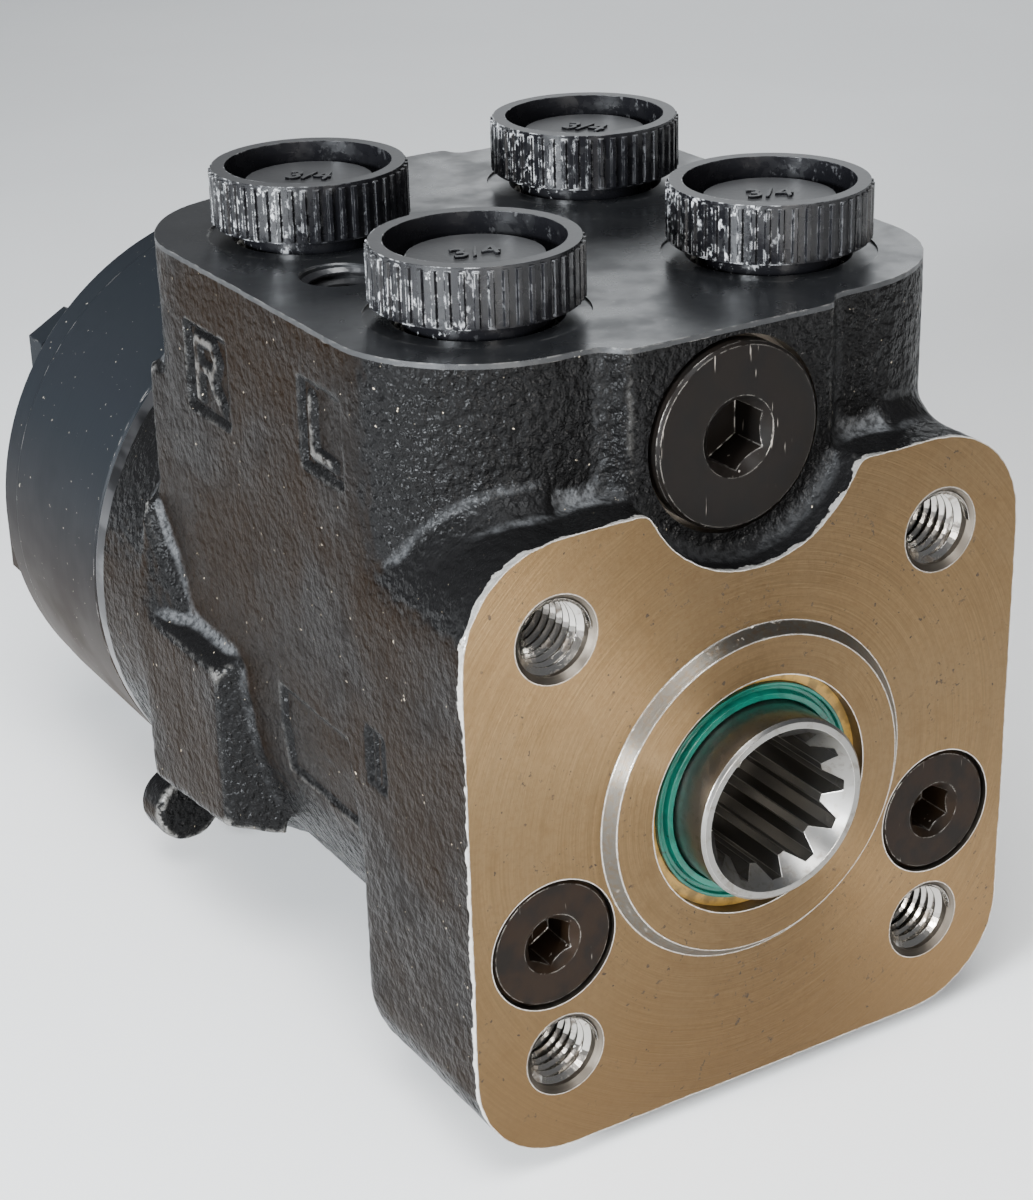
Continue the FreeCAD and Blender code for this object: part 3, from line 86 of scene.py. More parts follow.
def in_mm(box):
    """The corners of a box, to a tenth of a millimetre."""
    return [[round(value / MM, 1) for value in corner] for corner in box]


print("pieces in the frame:", len(nodes), "box in mm:", in_mm(cad_box))

# %% [markdown]
# The photographer stood to the left of the unit, a little above it, and close enough
# that the front looks larger than the rear. A camera can be aimed by eye, but here its
# place and its three axes were worked out from the four bolt holes and the caps, so
# they're written down as they came out. Blender's camera looks along its own -Z.


# %% Camera
def added(name, data):
    """A new object in the scene."""
    made = bpy.data.objects.new(name, data)
    bpy.context.scene.collection.objects.link(made)
    return made


CAMERA_PLACE = Vector((-170.99, -229.58, 156.72)) * MM
LOOK = Vector((0.46546, 0.78301, -0.41261))
RIGHT = Vector((0.85314, -0.52102, -0.02632))
FOCAL_PIXELS = 2531.5
PHOTO_HEIGHT = 1200
SENSOR = 36.0
NEAREST = 10 * MM

camera = added("camera", bpy.data.cameras.new("camera"))
up = RIGHT.cross(LOOK).normalized()
turn = Matrix((RIGHT.normalized(), up, -LOOK.normalized())).transposed()
camera.matrix_world = Matrix.Translation(CAMERA_PLACE) @ turn.to_4x4()
camera.data.sensor_width = SENSOR
camera.data.lens = FOCAL_PIXELS * SENSOR / PHOTO_HEIGHT
camera.data.clip_start = NEAREST
bpy.context.scene.camera = camera
print("lens in mm:", round(camera.data.lens, 2))

# %% [markdown]
# Most shapes here are either outlines pushed along an axis or profiles turned round
# one, just as a pattern maker or a lathe would make them. Blender has modifiers for
# both, but a few lines of mesh code give closed shells with exact sizes, and closed
# shells are what remeshing and boolean cuts need. All sizes below are in millimetres.


# %% Shells from outlines and profiles
def new_piece(name, verts, faces, smooth=False):
    """A mesh object from corner points in millimetres."""
    mesh = bpy.data.meshes.new(name)
    mesh.from_pydata([Vector(v) * MM for v in verts], [], faces)
    mesh.validate()
    piece = added(name, mesh)
    fix = bmesh.new()
    fix.from_mesh(mesh)
    bmesh.ops.recalc_face_normals(fix, faces=fix.faces)
    fix.to_mesh(mesh)
    fix.free()
    for face in mesh.polygons:
        face.use_smooth = smooth
    return piece


def place(u, v, along, axis):
    """A point of an outline, put where its axis says."""
    if axis == "Y":
        return (u, along, v)
    if axis == "Z":
        return (u, v, along)
    return (along, u, v)


def slab(name, outline, axis, start, end):
    """An outline pushed from start to end along an axis."""
    count = len(outline)
    verts = [place(u, v, start, axis) for u, v in outline]
    verts += [place(u, v, end, axis) for u, v in outline]
    faces = [tuple(range(count)), tuple(range(2 * count - 1, count - 1, -1))]
    faces += [(i, (i + 1) % count, count + (i + 1) % count, count + i) for i in range(count)]
    return new_piece(name, verts, faces)


def turned(name, profile, axis, centre=(0, 0), steps=128):
    """A closed profile of (radius, station) turned round an axis through centre."""
    verts, rows = [], []
    for radius, station in profile:
        if radius == 0:
            rows.append([len(verts)] * steps)
            verts.append(place(centre[0], centre[1], station, axis))
            continue
        rows.append(range(len(verts), len(verts) + steps))
        for k in range(steps):
            angle = 2 * math.pi * k / steps
            u = centre[0] + radius * math.cos(angle)
            v = centre[1] + radius * math.sin(angle)
            verts.append(place(u, v, station, axis))
    faces = []
    closed = profile[0][0] > 0
    pairs = zip(rows, rows[1:] + rows[:1]) if closed else zip(rows, rows[1:])
    for near, far in pairs:
        for k in range(steps):
            corners = [near[k], near[(k + 1) % steps], far[(k + 1) % steps], far[k]]
            ring = list(dict.fromkeys(corners))
            if len(ring) > 2:
                faces.append(ring)
    return new_piece(name, verts, faces)


def box_outline(left, right, low, high):
    """A rectangle, as an outline."""
    return [(left, low), (right, low), (right, high), (left, high)]


def joined(name, pieces):
    """Several shells in one object."""
    whole = bmesh.new()
    for piece in pieces:
        whole.from_mesh(piece.data)
        bpy.data.objects.remove(piece)
    mesh = bpy.data.meshes.new(name)
    whole.to_mesh(mesh)
    whole.free()
    return added(name, mesh)


def applied(piece):
    """The same object with its modifiers baked into its mesh."""
    bpy.context.view_layer.update()
    shaped = piece.evaluated_get(bpy.context.evaluated_depsgraph_get())
    mesh = bpy.data.meshes.new_from_object(shaped)
    piece.modifiers.clear()
    piece.data = mesh
    return piece


print("ways to make a shell:", [way.__name__ for way in (slab, turned, joined)])

# %% [markdown]
# ## The casting
# The housing is one iron casting: a square flange in front, a round middle, a block on
# top with a rounded lobe round each port, a round flange behind, and a thick lug on
# each side. On a real casting every inside corner is a soft fillet and every wall is
# slightly pebbled by the sand. Rounding edges one by one with a bevel breaks down where
# so many shells meet. So the raw casting starts as overlapping plain shells, voxel
# remeshing melts them into one skin, and smoothing turns every corner into a fillet.
# It is cast a little too long wherever a face is machined later.
#
# The port face, the rear face and the rear flange's radius are measured on the box of
# the plain housing. The other sizes are the real unit's, read off the photograph with
# the camera above.

# %% Sizes of the casting
housing_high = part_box("housing")[1]
BODY_HALF = 42.2
FLANGE_TOP, FLANGE_BOTTOM, FLANGE_DEPTH = 42.0, -43.2, 29.0
CORNER = 14.0
PORT_FACE = housing_high.z / MM
PORT_X = 22.15
PORT_Y = (28.2, 72.5)
LOBE_R = 20.05
BLOCK_REAR = 96.0
REAR = housing_high.y / MM
MID_R = 41.8
FLANGE_R = housing_high.x / MM
MIDDLE_FROM, MIDDLE_TO, REAR_FLANGE_FROM = 14, 74, 88
FRONT_BOSS_HALF, FRONT_BOSS_FROM = 15.5, 5.0
REAR_BOSS_HALF, REAR_BOSS_TO = 14.0, 99.0
EAR_R, EAR_CENTRE, EAR_FROM = 5.6, (-37.6, -35.6), 96.5
SPARE = 4.0
PEBBLE, PEBBLE_DEPTH = 1.5, 0.10
WAVE, WAVE_DEPTH = 9.0, 0.10
RECESS_R, RECESS_Z, RECESS_DEPTH = 17.0, 48.2, 5.6
print("port face at", PORT_FACE, "rear flange", round(FLANGE_R, 2), "to", REAR)

# %% [markdown]
# Seen from the front, the flange is a square with a quarter circle at each corner, and
# the relief plug sits in a round bite out of its upper edge. The outline could be drawn
# as a curve, but arcs worked out in a loop stay exact. It's needed twice: with the bite
# for the front layer, and whole for the layer behind the plug's collar.

# %% Outline of the flange
BITE_STEPS, CORNER_STEPS = 24, 8


def rounded_flange(bite):
    """The flange's outline, with the round bite for the relief plug or without it."""
    outline = []
    corners = ((1, 1), (-1, 1), (-1, -1), (1, -1))
    for k, (sx, sz) in enumerate(corners):
        edge = FLANGE_TOP if sz > 0 else FLANGE_BOTTOM
        centre = (sx * (BODY_HALF - CORNER), edge - sz * CORNER)
        if bite and k == 1:
            half = math.sqrt(RECESS_R ** 2 - (RECESS_Z - FLANGE_TOP) ** 2)
            start = math.atan2(FLANGE_TOP - RECESS_Z, half)
            end = -math.pi - start
            for step in range(BITE_STEPS + 1):
                angle = start + (end - start) * step / BITE_STEPS
                outline.append((RECESS_R * math.cos(angle), RECESS_Z + RECESS_R * math.sin(angle)))
        for step in range(CORNER_STEPS + 1):
            angle = math.pi / 2 * (k + step / CORNER_STEPS)
            outline.append((centre[0] + CORNER * math.cos(angle), centre[1] + CORNER * math.sin(angle)))
    return outline


print("points of the outline with and without the bite:", [len(rounded_flange(b)) for b in (True, False)])

# %% [markdown]
# A thick lug stands out of each side wall. It tapers outward, as cast pieces do so that
# the mould lets go of them, and a thin web runs from it up to the rear flange. An outline
# pushed along an axis can't taper, so the corner points of both are given one by one.

# %% Lugs and webs
LUG_ROOT, LUG_TIP = 37.8, 45.8
WEB_FOOT, WEB_REAR = 7, 89


def tapered_lug(side):
    """A lug that narrows from its root inside the wall to its outer face."""
    root = [(59.5, -23.0), (90.0, -25.5), (90.0, 8.7), (58.0, 8.7)]
    tip = [(64.0, -21.0), (90.0, -24.0), (90.0, 3.5), (64.0, 3.5)]
    verts = [(side * LUG_ROOT, y, z) for y, z in root] + [(side * LUG_TIP, y, z) for y, z in tip]
    faces = [(0, 1, 2, 3), (7, 6, 5, 4)]
    faces += [(i, (i + 1) % 4, 4 + (i + 1) % 4, 4 + i) for i in range(4)]
    return new_piece("lug", verts, faces)


def web_above_lug(side):
    """A thin three-cornered web that runs up from the lug onto the rear flange."""
    verts = [
        (side * 38, 74, WEB_FOOT), (side * 38, WEB_REAR, WEB_FOOT), (side * 38, WEB_REAR, 24),
        (side * 43.2, 79, WEB_FOOT), (side * 45.7, WEB_REAR, WEB_FOOT), (side * 44.2, WEB_REAR, 21),
    ]
    faces = [(0, 1, 2), (5, 4, 3), (0, 3, 4, 1), (1, 4, 5, 2), (2, 5, 3, 0)]
    return new_piece("web", verts, faces)


print("lugs reach from", LUG_ROOT, "to", LUG_TIP, "mm from the middle")

# %% [markdown]
# Where a front lobe rises out of the flange, the casting has a wide fillet, wider than
# the smoothing alone can give. A pattern maker would press a strip of wax into such a
# corner. Here the strip is a three-cornered section carried round the lobe, and it gets
# thinner where the corner leaves less room for it.

# %% Fillets round the front lobes
FILLET_STEPS, FILLET_REACH, FILLET_SUNK = 24, 3.4, 2.0
FILLET_THINNEST, FILLET_SPARE, FILLET_FOOT = 0.1, 0.2, 0.6
FILLET_FROM, FILLET_TO = 188, 262


def flange_height(x):
    """How high the flange reaches at a place across it, with its rounded corners."""
    beyond = max(0.0, min(CORNER, abs(x) - (BODY_HALF - CORNER)))
    return FLANGE_TOP - CORNER + math.sqrt(CORNER ** 2 - beyond ** 2)


def fillet_round_lobe(side):
    """A strip that fills the corner between the flange and a front lobe."""
    steps, hidden_r = FILLET_STEPS, LOBE_R - FILLET_SUNK
    verts, faces = [], []
    for k in range(steps + 1):
        angle = math.radians(FILLET_FROM + (FILLET_TO - FILLET_FROM) * k / steps)
        room = LOBE_R / abs(math.cos(angle)) - LOBE_R - FILLET_SPARE
        size = max(FILLET_THINNEST, min(FILLET_REACH, room))
        corners = ((hidden_r, -FILLET_SUNK), (LOBE_R + size, -FILLET_FOOT), (hidden_r, size + FILLET_SUNK))
        for radius, lift in corners:
            x = PORT_X - radius * math.cos(angle)
            foot = flange_height(x if radius > LOBE_R else PORT_X - LOBE_R * math.cos(angle))
            verts.append((side * x, PORT_Y[0] + radius * math.sin(angle), foot + lift))
    for k in range(steps):
        a, b = 3 * k, 3 * k + 3
        faces += [(a + i, a + (i + 1) % 3, b + (i + 1) % 3, b + i) for i in range(3)]
    faces += [(0, 2, 1), (3 * steps, 3 * steps + 1, 3 * steps + 2)]
    return new_piece("fillet", verts, faces)


print("flange height in the middle and at its side:", [round(flange_height(x), 1) for x in (0, BODY_HALF)])

# %% [markdown]
# Now every shell is made and all are joined. They overlap wherever they meet, so that
# melting leaves no gap between them. The rear flange stays a little under its full
# radius, because the sand texture still adds to it.

# %% All raw shells
cast_r = FLANGE_R - PEBBLE_DEPTH - WAVE_DEPTH / 2
block_back = BLOCK_REAR - LOBE_R
block_top = PORT_FACE + SPARE
shells = [
    slab("front_bite", rounded_flange(True), "Y", -SPARE, RECESS_DEPTH),
    slab("flange", rounded_flange(False), "Y", 5, FLANGE_DEPTH),
    turned("middle", [
        (0, MIDDLE_FROM), (MID_R, MIDDLE_FROM), (MID_R, MIDDLE_TO), (cast_r, REAR_FLANGE_FROM),
        (cast_r, REAR + SPARE), (0, REAR + SPARE),
    ], "Y"),
    slab("upper_middle", box_outline(-MID_R, MID_R, 0, FLANGE_TOP), "Y", PORT_Y[0], REAR_FLANGE_FROM),
    slab("block_across", box_outline(-BODY_HALF, BODY_HALF, PORT_Y[0], block_back), "Z", 0, block_top),
    slab("block_along", box_outline(-PORT_X, PORT_X, PORT_Y[0] - LOBE_R, BLOCK_REAR), "Z", 0, block_top),
    slab(
        "front_boss", box_outline(-FRONT_BOSS_HALF, FRONT_BOSS_HALF, FRONT_BOSS_FROM, PORT_Y[0]),
        "Z", 0, block_top,
    ),
    slab(
        "rear_boss", box_outline(-REAR_BOSS_HALF, REAR_BOSS_HALF, PORT_Y[1], REAR_BOSS_TO),
        "Z", 0, block_top,
    ),
    turned("ear", [
        (0, EAR_FROM), (EAR_R, EAR_FROM), (EAR_R, REAR + SPARE), (0, REAR + SPARE),
    ], "Y", EAR_CENTRE, 48),
    slab(
        "ear_root", [(-41.5, -31.7), (-33.7, -39.5), (-18.8, -21.7), (-22.7, -17.8)],
        "Y", EAR_FROM, REAR + SPARE,
    ),
]
for make in (tapered_lug, web_above_lug, fillet_round_lobe):
    shells += [make(side) for side in (-1, 1)]
for side in (-1, 1):
    corner = [(side * 14.0, 11.0), (side * 19.6, 9.9), (side * 17.3, 7.9), (side * 15.3, 5.6)]
    shells.append(slab("boss_fillet", corner, "Z", 38, block_top))
for x in (-PORT_X, PORT_X):
    for y in (PORT_Y[0], block_back):
        lobe = [(0, 0), (LOBE_R, 0), (LOBE_R, block_top), (0, block_top)]
        shells.append(turned("lobe", lobe, "Z", (x, y)))
casting = joined("casting", shells)
print("raw shells joined:", len(casting.data.polygons), "faces")

# %% [markdown]
# The voxel size sets how fine a fillet or a pebble the skin can hold. A little over half
# a millimetre is fine enough for the photograph and still quick. The smoothing passes
# roll the corners over by about the radius of a sand mould's fillet.

# %% Melt the shells into one skin
VOXEL = 0.6
ROLL, ROLL_PASSES = 0.6, 22
melt = casting.modifiers.new("melt", "REMESH")
melt.mode = "VOXEL"
melt.voxel_size = VOXEL * MM
roll = casting.modifiers.new("roll", "SMOOTH")
roll.factor = ROLL
roll.iterations = ROLL_PASSES
applied(casting)
print("skin:", len(casting.data.vertices), "points")

# %% [markdown]
# Paint wears off where the skin stands out, and a pale highlight is painted where it's
# hollow. How far a point stands out is measured by comparing it with the middle of its
# neighbours. It's done before the sand texture is added, so that only true edges and folds count.

# %% Where the skin stands out
skin = bmesh.new()
skin.from_mesh(casting.data)
stands_out = []
for vertex in skin.verts:
    neighbours = [edge.other_vert(vertex).co for edge in vertex.link_edges]
    middle = sum(neighbours, Vector()) / len(neighbours)
    stands_out.append((vertex.co - middle).dot(vertex.normal) / MM)
skin.free()
ranked = sorted(stands_out)
for part in (0.01, 0.5, 0.99):
    print("at", part, "of all points, in mm:", round(ranked[int(len(ranked) * part)], 3))

# %% [markdown]
# The mould carries a few shallow panels on the left wall, two with a raised port letter,
# and a small tally of three narrow grooves. They could be cut out, but sinking the
# points of the skin is simpler: each point near the wall moves inward by a depth that
# fades out over the panel's border, and less where a stroke of a letter passes.

# %% Panels and letters
PANELS = ((60.0, 72.3, 40.0, 52.0), (28.0, 38.5, 42.0, 53.5), (30.5, 50.0, -6.3, 6.3))
TALLY = tuple((y - 0.5, y + 0.5, 3.0, 10.8) for y in (21.4, 23.1, 24.8))
PANEL_DEPTH = 0.8
STROKES = (
    ((69.4, 42.0), (69.4, 50.2)), ((69.4, 50.2), (64.6, 50.2)), ((64.6, 50.2), (63.4, 48.2)),
    ((63.4, 48.2), (64.6, 46.2)), ((64.6, 46.2), (69.4, 46.2)), ((66.0, 46.2), (62.6, 42.0)),
    ((36.0, 51.5), (36.0, 44.2)), ((36.0, 44.2), (31.0, 44.2)),
)
STROKE_HALF, STROKE_FADE, STROKE_HEIGHT = 0.62, 0.5, 0.85
PANEL_FADE = 0.9


def held(value):
    """A value kept between 0 and 1."""
    return max(0.0, min(1.0, value))


def inside(value, low, high, fade):
    """1 well between low and high, 0 outside, and a slope between."""
    return held(min(value - low, high - value) / fade + 0.5)


def in_panel(point, panel, grown, fade):
    """1 inside a panel that is grown by some millimetres, and 0 outside it."""
    y1, y2, z1, z2 = panel
    return inside(point.y, y1 - grown, y2 + grown, fade) * inside(point.z, z1 - grown, z2 + grown, fade)


def stroke_distance(y, z):
    """How far a place on the wall is from the nearest stroke of a letter."""
    nearest = math.inf
    for (y1, z1), (y2, z2) in STROKES:
        dy, dz = y2 - y1, z2 - z1
        t = held(((y - y1) * dy + (z - z1) * dz) / (dy * dy + dz * dz))
        nearest = min(nearest, math.hypot(y - y1 - t * dy, z - z1 - t * dz))
    return nearest


def panel_depth(point):
    """How far a point of the left wall sinks, in millimetres."""
    depth = max(in_panel(point, panel, 0, PANEL_FADE) for panel in PANELS + TALLY)
    if depth > 0:
        raised = 1 - held((stroke_distance(point.y, point.z) - STROKE_HALF) / STROKE_FADE)
        depth *= 1 - raised * STROKE_HEIGHT
    return depth * PANEL_DEPTH


print("strokes of the letters:", len(STROKES), "panels and grooves:", len(PANELS + TALLY))

# %% [markdown]
# Raised letters and the borders of the panels are the first places to be rubbed bare.
# The rub is worked out from the same outlines as the depth, point by point, so the bare
# metal will follow the letters exactly.

# %% Rubbed letters
RUB_ON_STROKE, RUB_ON_BORDER = 0.66, 0.6
RUB_HALF, RUB_FADE = 0.5, 0.8


def stroke_rub(point):
    """How much a point of the left wall is rubbed bare, from 0 to 1."""
    if not any(in_panel(point, panel, 2, RUB_FADE) for panel in PANELS):
        return 0.0
    on_stroke = 1 - held((stroke_distance(point.y, point.z) - RUB_HALF) / RUB_HALF)
    inner = max(in_panel(point, panel, 0, RUB_FADE) for panel in PANELS)
    outer = max(in_panel(point, panel, 1, RUB_FADE) for panel in PANELS)
    return max(RUB_ON_STROKE * on_stroke, RUB_ON_BORDER * (outer - inner))


first_y, first_z = STROKES[0][0]
print("rub at the foot of the first letter:", stroke_rub(Vector((0, first_y, first_z))))

# %% [markdown]
# The sand leaves pebbles and longer waves on every wall. Both are noise pushed along the
# point's own normal, so that no wall looks ruled, and a thin seam stands out where two
# parts of the mould met. The panels are sunk in the same pass. At the end each point
# keeps two values for the paint: how bare it is rubbed, and how deep it lies in a fold.

# %% Press panels and sand texture into the skin
SEAM, SEAM_HALF, SEAM_HEIGHT = 30.3, 0.3, 0.12
EDGE_OUT, FOLD_IN = 0.05, 0.022
WALL_X, WALL_FACING = 3.5 - MID_R, -0.7
normals = [v.normal.copy() for v in casting.data.vertices]
rubs = []
for vertex, normal in zip(casting.data.vertices, normals):
    point = vertex.co / MM
    push = PEBBLE_DEPTH * noise.noise(point / PEBBLE) + WAVE_DEPTH * noise.noise(point / WAVE)
    vertex.co += normal * push * MM
    rub = 0.0
    if point.x < WALL_X and normal.x < WALL_FACING:
        vertex.co.x += panel_depth(point) * MM
        on_seam = inside(point.y, SEAM - SEAM_HALF, SEAM + SEAM_HALF, 0.6)
        vertex.co.x -= SEAM_HEIGHT * on_seam * MM
        rub = stroke_rub(point)
    rubs.append(rub)
edges_and_strokes = [max(rub, min(1.0, out / EDGE_OUT)) for rub, out in zip(rubs, stands_out)]
folds = [held(-out / FOLD_IN) for out in stands_out]
for name, values in (("wear", edges_and_strokes), ("hollow", folds)):
    casting.data.attributes.new(name, "FLOAT", "POINT").data.foreach_set("value", values)
print("points rubbed bare on the letters:", sum(rub > 0.3 for rub in rubs))

# %% [markdown]
# ## Machining
# The casting now goes to the mill, in the same order as in a factory. Each cutter is a
# closed shell that a boolean takes away: one faces the front and leaves the low round
# boss that centres the column, one faces the ports, and one faces the rear. The skin
# could be made flat there from the start, but only a cut gives an edge that is crisp
# against the rounded cast walls, as it is on the real part.

# %% Cutters for the faces
PILOT_R, PILOT_HEIGHT = 23.35, 1.4
FAR = 40.0

face_cutter = turned("face_cutter", [
    (0, -FAR), (2 * FAR, -FAR), (2 * FAR, 0), (PILOT_R, 0),
    (PILOT_R - PILOT_HEIGHT, -PILOT_HEIGHT), (0, -PILOT_HEIGHT),
], "Y")
port_cutter = slab("port_cutter", box_outline(-60, 60, -10, 120), "Z", PORT_FACE, PORT_FACE + 20)
rear_cutter = slab("rear_cutter", box_outline(-70, 70, -70, 80), "Y", REAR, REAR + 20)
print("faces cut at", PORT_FACE, "and", REAR, "mm, pilot", 2 * PILOT_R, "mm across")

# %% [markdown]
# Every hole is a stepped profile turned round its own axis, the way drills and boring
# bars leave it: the wide main bore with its grooves, the sockets of the relief plug and
# the two shock plugs, the four ports, and the tapped holes with a small chamfer at the
# mouth. All holes are joined into one cutter, because one cut is quicker than twenty.

# %% Cutters for the holes
COLUMN_HOLE = 82.5 / (2 * math.sqrt(2))
SCREW_COUNT, SCREW_CIRCLE, SCREW_R = 7, 37.5, 4.05
RELIEF_Z = 47.1
SHOCK = (30.5, -12.5)
MANIFOLD = (29.0, 51.8)
OUT, UP = -10, 80
TAPPED_R = 5.0
PORT_R = 10.3

holes = [
    turned("main_bore", [
        (0, OUT), (16.5, OUT), (16.5, 4.6), (13.1, 4.6), (13.1, 6), (16.2, 6), (16.2, 10.2),
        (19, 10.2), (19, REAR + 10), (0, REAR + 10),
    ], "Y"),
    turned("relief_bore", [
        (0, OUT), (12.7, OUT), (12.7, 7.9), (9.05, 7.9), (9.05, 20),
        (7, 20), (7, 52), (2.5, 52), (2.5, 58), (0, 58),
    ], "Y", (0, RELIEF_Z), 96),
    turned("ring_groove", [
        (42.8, REAR - 1.6), (44.4, REAR - 1.6), (44.4, REAR + 5), (42.8, REAR + 5),
    ], "Y"),
]
for side in (-1, 1):
    holes.append(turned("shock_bore", [
        (0, OUT), (9, OUT), (9, 5), (6.05, 5), (6.05, 16), (4.5, 16), (4.5, 40),
        (2.2, 40), (2.2, 46), (0, 46),
    ], "Y", (side * SHOCK[0], SHOCK[1]), 72))
    holes.append(turned("manifold_hole", [
        (0, UP), (5.2, UP), (5.2, PORT_FACE), (TAPPED_R, PORT_FACE - 0.2),
        (TAPPED_R, PORT_FACE - 16), (0, PORT_FACE - 18.5),
    ], "Z", (side * MANIFOLD[0], MANIFOLD[1]), 48))
    for z in (-COLUMN_HOLE, COLUMN_HOLE):
        holes.append(turned("column_hole", [
            (0, OUT), (5.75, OUT), (5.75, 0), (TAPPED_R, 0.75), (TAPPED_R, 21), (0, 23.5),
        ], "Y", (side * COLUMN_HOLE, z), 48))
    for y in PORT_Y:
        holes.append(turned("port_hole", [
            (0, UP), (14.2, UP), (14.2, PORT_FACE - 0.3), (11, PORT_FACE - 0.3), (PORT_R, PORT_FACE - 1.2),
            (PORT_R, PORT_FACE - 14.5), (6.5, PORT_FACE - 15), (6.5, PORT_FACE - 24), (0, PORT_FACE - 27),
        ], "Z", (side * PORT_X, y), 72))
for k in range(SCREW_COUNT):
    angle = math.radians(90 - 360 / SCREW_COUNT * k)
    spot = (SCREW_CIRCLE * math.cos(angle), SCREW_CIRCLE * math.sin(angle))
    drilled = [(0, 58), (SCREW_R, 64), (SCREW_R, REAR + 10), (0, REAR + 10)]
    holes.append(turned("screw_hole", drilled, "Y", spot, 32))
hole_cutter = joined("hole_cutter", holes)
print("holes in the casting:", len(holes))

# %% [markdown]
# ## Finishes
# A finish is a shader whose colour, roughness and small bumps come from noise of a
# known size, so a pebble stays a pebble at any distance. Writing each node out by hand
# hides the recipe under wiring, so a small class keeps the wiring short: it measures
# all sizes in millimetres of the real object and joins one node to the next. The plain
# numbers, such as the base metal value, stay on the shader itself.


# %% A short way to write a finish
class Finish:
    """One material, built up node by node."""

    def __init__(self, name, colour, roughness, metallic=0.0, specular=0.5):
        self.material = bpy.data.materials.new(name)
        self.material.use_nodes = True
        self.tree = self.material.node_tree
        self.shader = self.tree.nodes["Principled BSDF"]
        self.shader.inputs["Base Color"].default_value = (*colour, 1)
        self.shader.inputs["Roughness"].default_value = roughness
        self.shader.inputs["Metallic"].default_value = metallic
        self.shader.inputs["Specular IOR Level"].default_value = specular
        self.where = self.node("ShaderNodeTexCoord").outputs["Object"]

    def node(self, kind, **values):
        """A new node. Words name its inputs or settings; a value may be another node's output."""
        made = self.tree.nodes.new(kind)
        for word, value in values.items():
            socket = made.inputs.get(word.replace("_", " ")) if not hasattr(made, word) else None
            if socket is None:
                setattr(made, word, value)
            elif isinstance(value, bpy.types.NodeSocket):
                self.tree.links.new(value, socket)
            else:
                socket.default_value = value
        return made

    def noise(self, size, detail=3.0, roughness=0.55, stretch=None, tilt=0.0, shift=0.0):
        """Noise with grains of about size millimetres, drawn out by stretch along an axis."""
        where = self.where
        if stretch or tilt or shift:
            where = self.node(
                "ShaderNodeMapping", Vector=where, Location=(shift,) * 3,
                Rotation=(0, tilt, 0), Scale=stretch or (1, 1, 1),
            ).outputs["Vector"]
        return self.node(
            "ShaderNodeTexNoise", Vector=where, Scale=1 / (size * MM), Detail=detail, Roughness=roughness,
        ).outputs["Fac"]

    def ramp(self, value, low, high, rest=0.0, full=1.0):
        """Rest where a value is below low, full where it is above high, and a slope between."""
        made = self.node(
            "ShaderNodeMapRange", interpolation_type="SMOOTHSTEP", clamp=True,
            Value=value, From_Min=low, From_Max=high, To_Min=rest, To_Max=full,
        )
        return made.outputs["Result"]

    def patches(self, size, low, high, detail=3.0, roughness=0.55, rest=0.0, full=1.0, **drawn):
        """Soft patches of about size millimetres, where the noise lies between low and high."""
        return self.ramp(self.noise(size, detail, roughness, **drawn), low, high, rest, full)

    def maths(self, operation, first, second=0.0):
        """A sum or another operation on two values."""
        made = self.node("ShaderNodeMath", operation=operation)
        for socket, value in zip(made.inputs, (first, second)):
            if isinstance(value, bpy.types.NodeSocket):
                self.tree.links.new(value, socket)
            else:
                socket.default_value = value
        return made.outputs[0]

    def plus(self, first, second):
        """The sum of two values."""
        return self.maths("ADD", first, second)

    def minus(self, first, second):
        """The first value less the second."""
        return self.maths("SUBTRACT", first, second)

    def times(self, first, second):
        """The product of two values."""
        return self.maths("MULTIPLY", first, second)

    def larger(self, first, second):
        """The larger of two values."""
        return self.maths("MAXIMUM", first, second)

    def facing(self):
        """How far the surface faces along X, Y and Z, each from -1 to 1."""
        normal = self.node("ShaderNodeNewGeometry").outputs["Normal"]
        return self.node("ShaderNodeSeparateXYZ", Vector=normal).outputs

    def edges(self, radius, low=0.02, high=0.12):
        """1 on edges within a radius in millimetres, 0 on open faces."""
        soft = self.node("ShaderNodeBevel", samples=6, Radius=radius * MM).outputs["Normal"]
        flat = self.node("ShaderNodeNewGeometry").outputs["Normal"]
        dot = self.node("ShaderNodeVectorMath", operation="DOT_PRODUCT")
        self.tree.links.new(soft, dot.inputs[0])
        self.tree.links.new(flat, dot.inputs[1])
        turned_away = self.minus(1.0, dot.outputs["Value"])
        return self.ramp(turned_away, low, high)

    def along(self, axis):
        """The place along an axis, in millimetres."""
        split = self.node("ShaderNodeSeparateXYZ", Vector=self.where)
        return self.times(split.outputs[axis], 1 / MM)

    def from_shaft(self):
        """The distance from the shaft's axis, in millimetres."""
        squares = [self.maths("POWER", self.along(axis), 2.0) for axis in "XZ"]
        return self.maths("SQRT", self.plus(*squares))

    def mixed(self, factor, socket, value):
        """Over part of the surface, set by factor, one of the shader's inputs becomes value."""
        target = self.shader.inputs[socket]
        colour = target.type == "RGBA"
        made = self.node("ShaderNodeMix", data_type="RGBA" if colour else "FLOAT")
        slots = [s for s in made.inputs if s.enabled]
        self.tree.links.new(factor, slots[0])
        if target.is_linked:
            self.tree.links.new(target.links[0].from_socket, slots[1])
        else:
            slots[1].default_value = target.default_value
        if isinstance(value, bpy.types.NodeSocket):
            self.tree.links.new(value, slots[2])
        else:
            slots[2].default_value = (*value, 1) if colour else value
        result = [s for s in made.outputs if s.enabled][0]
        self.tree.links.new(result, target)

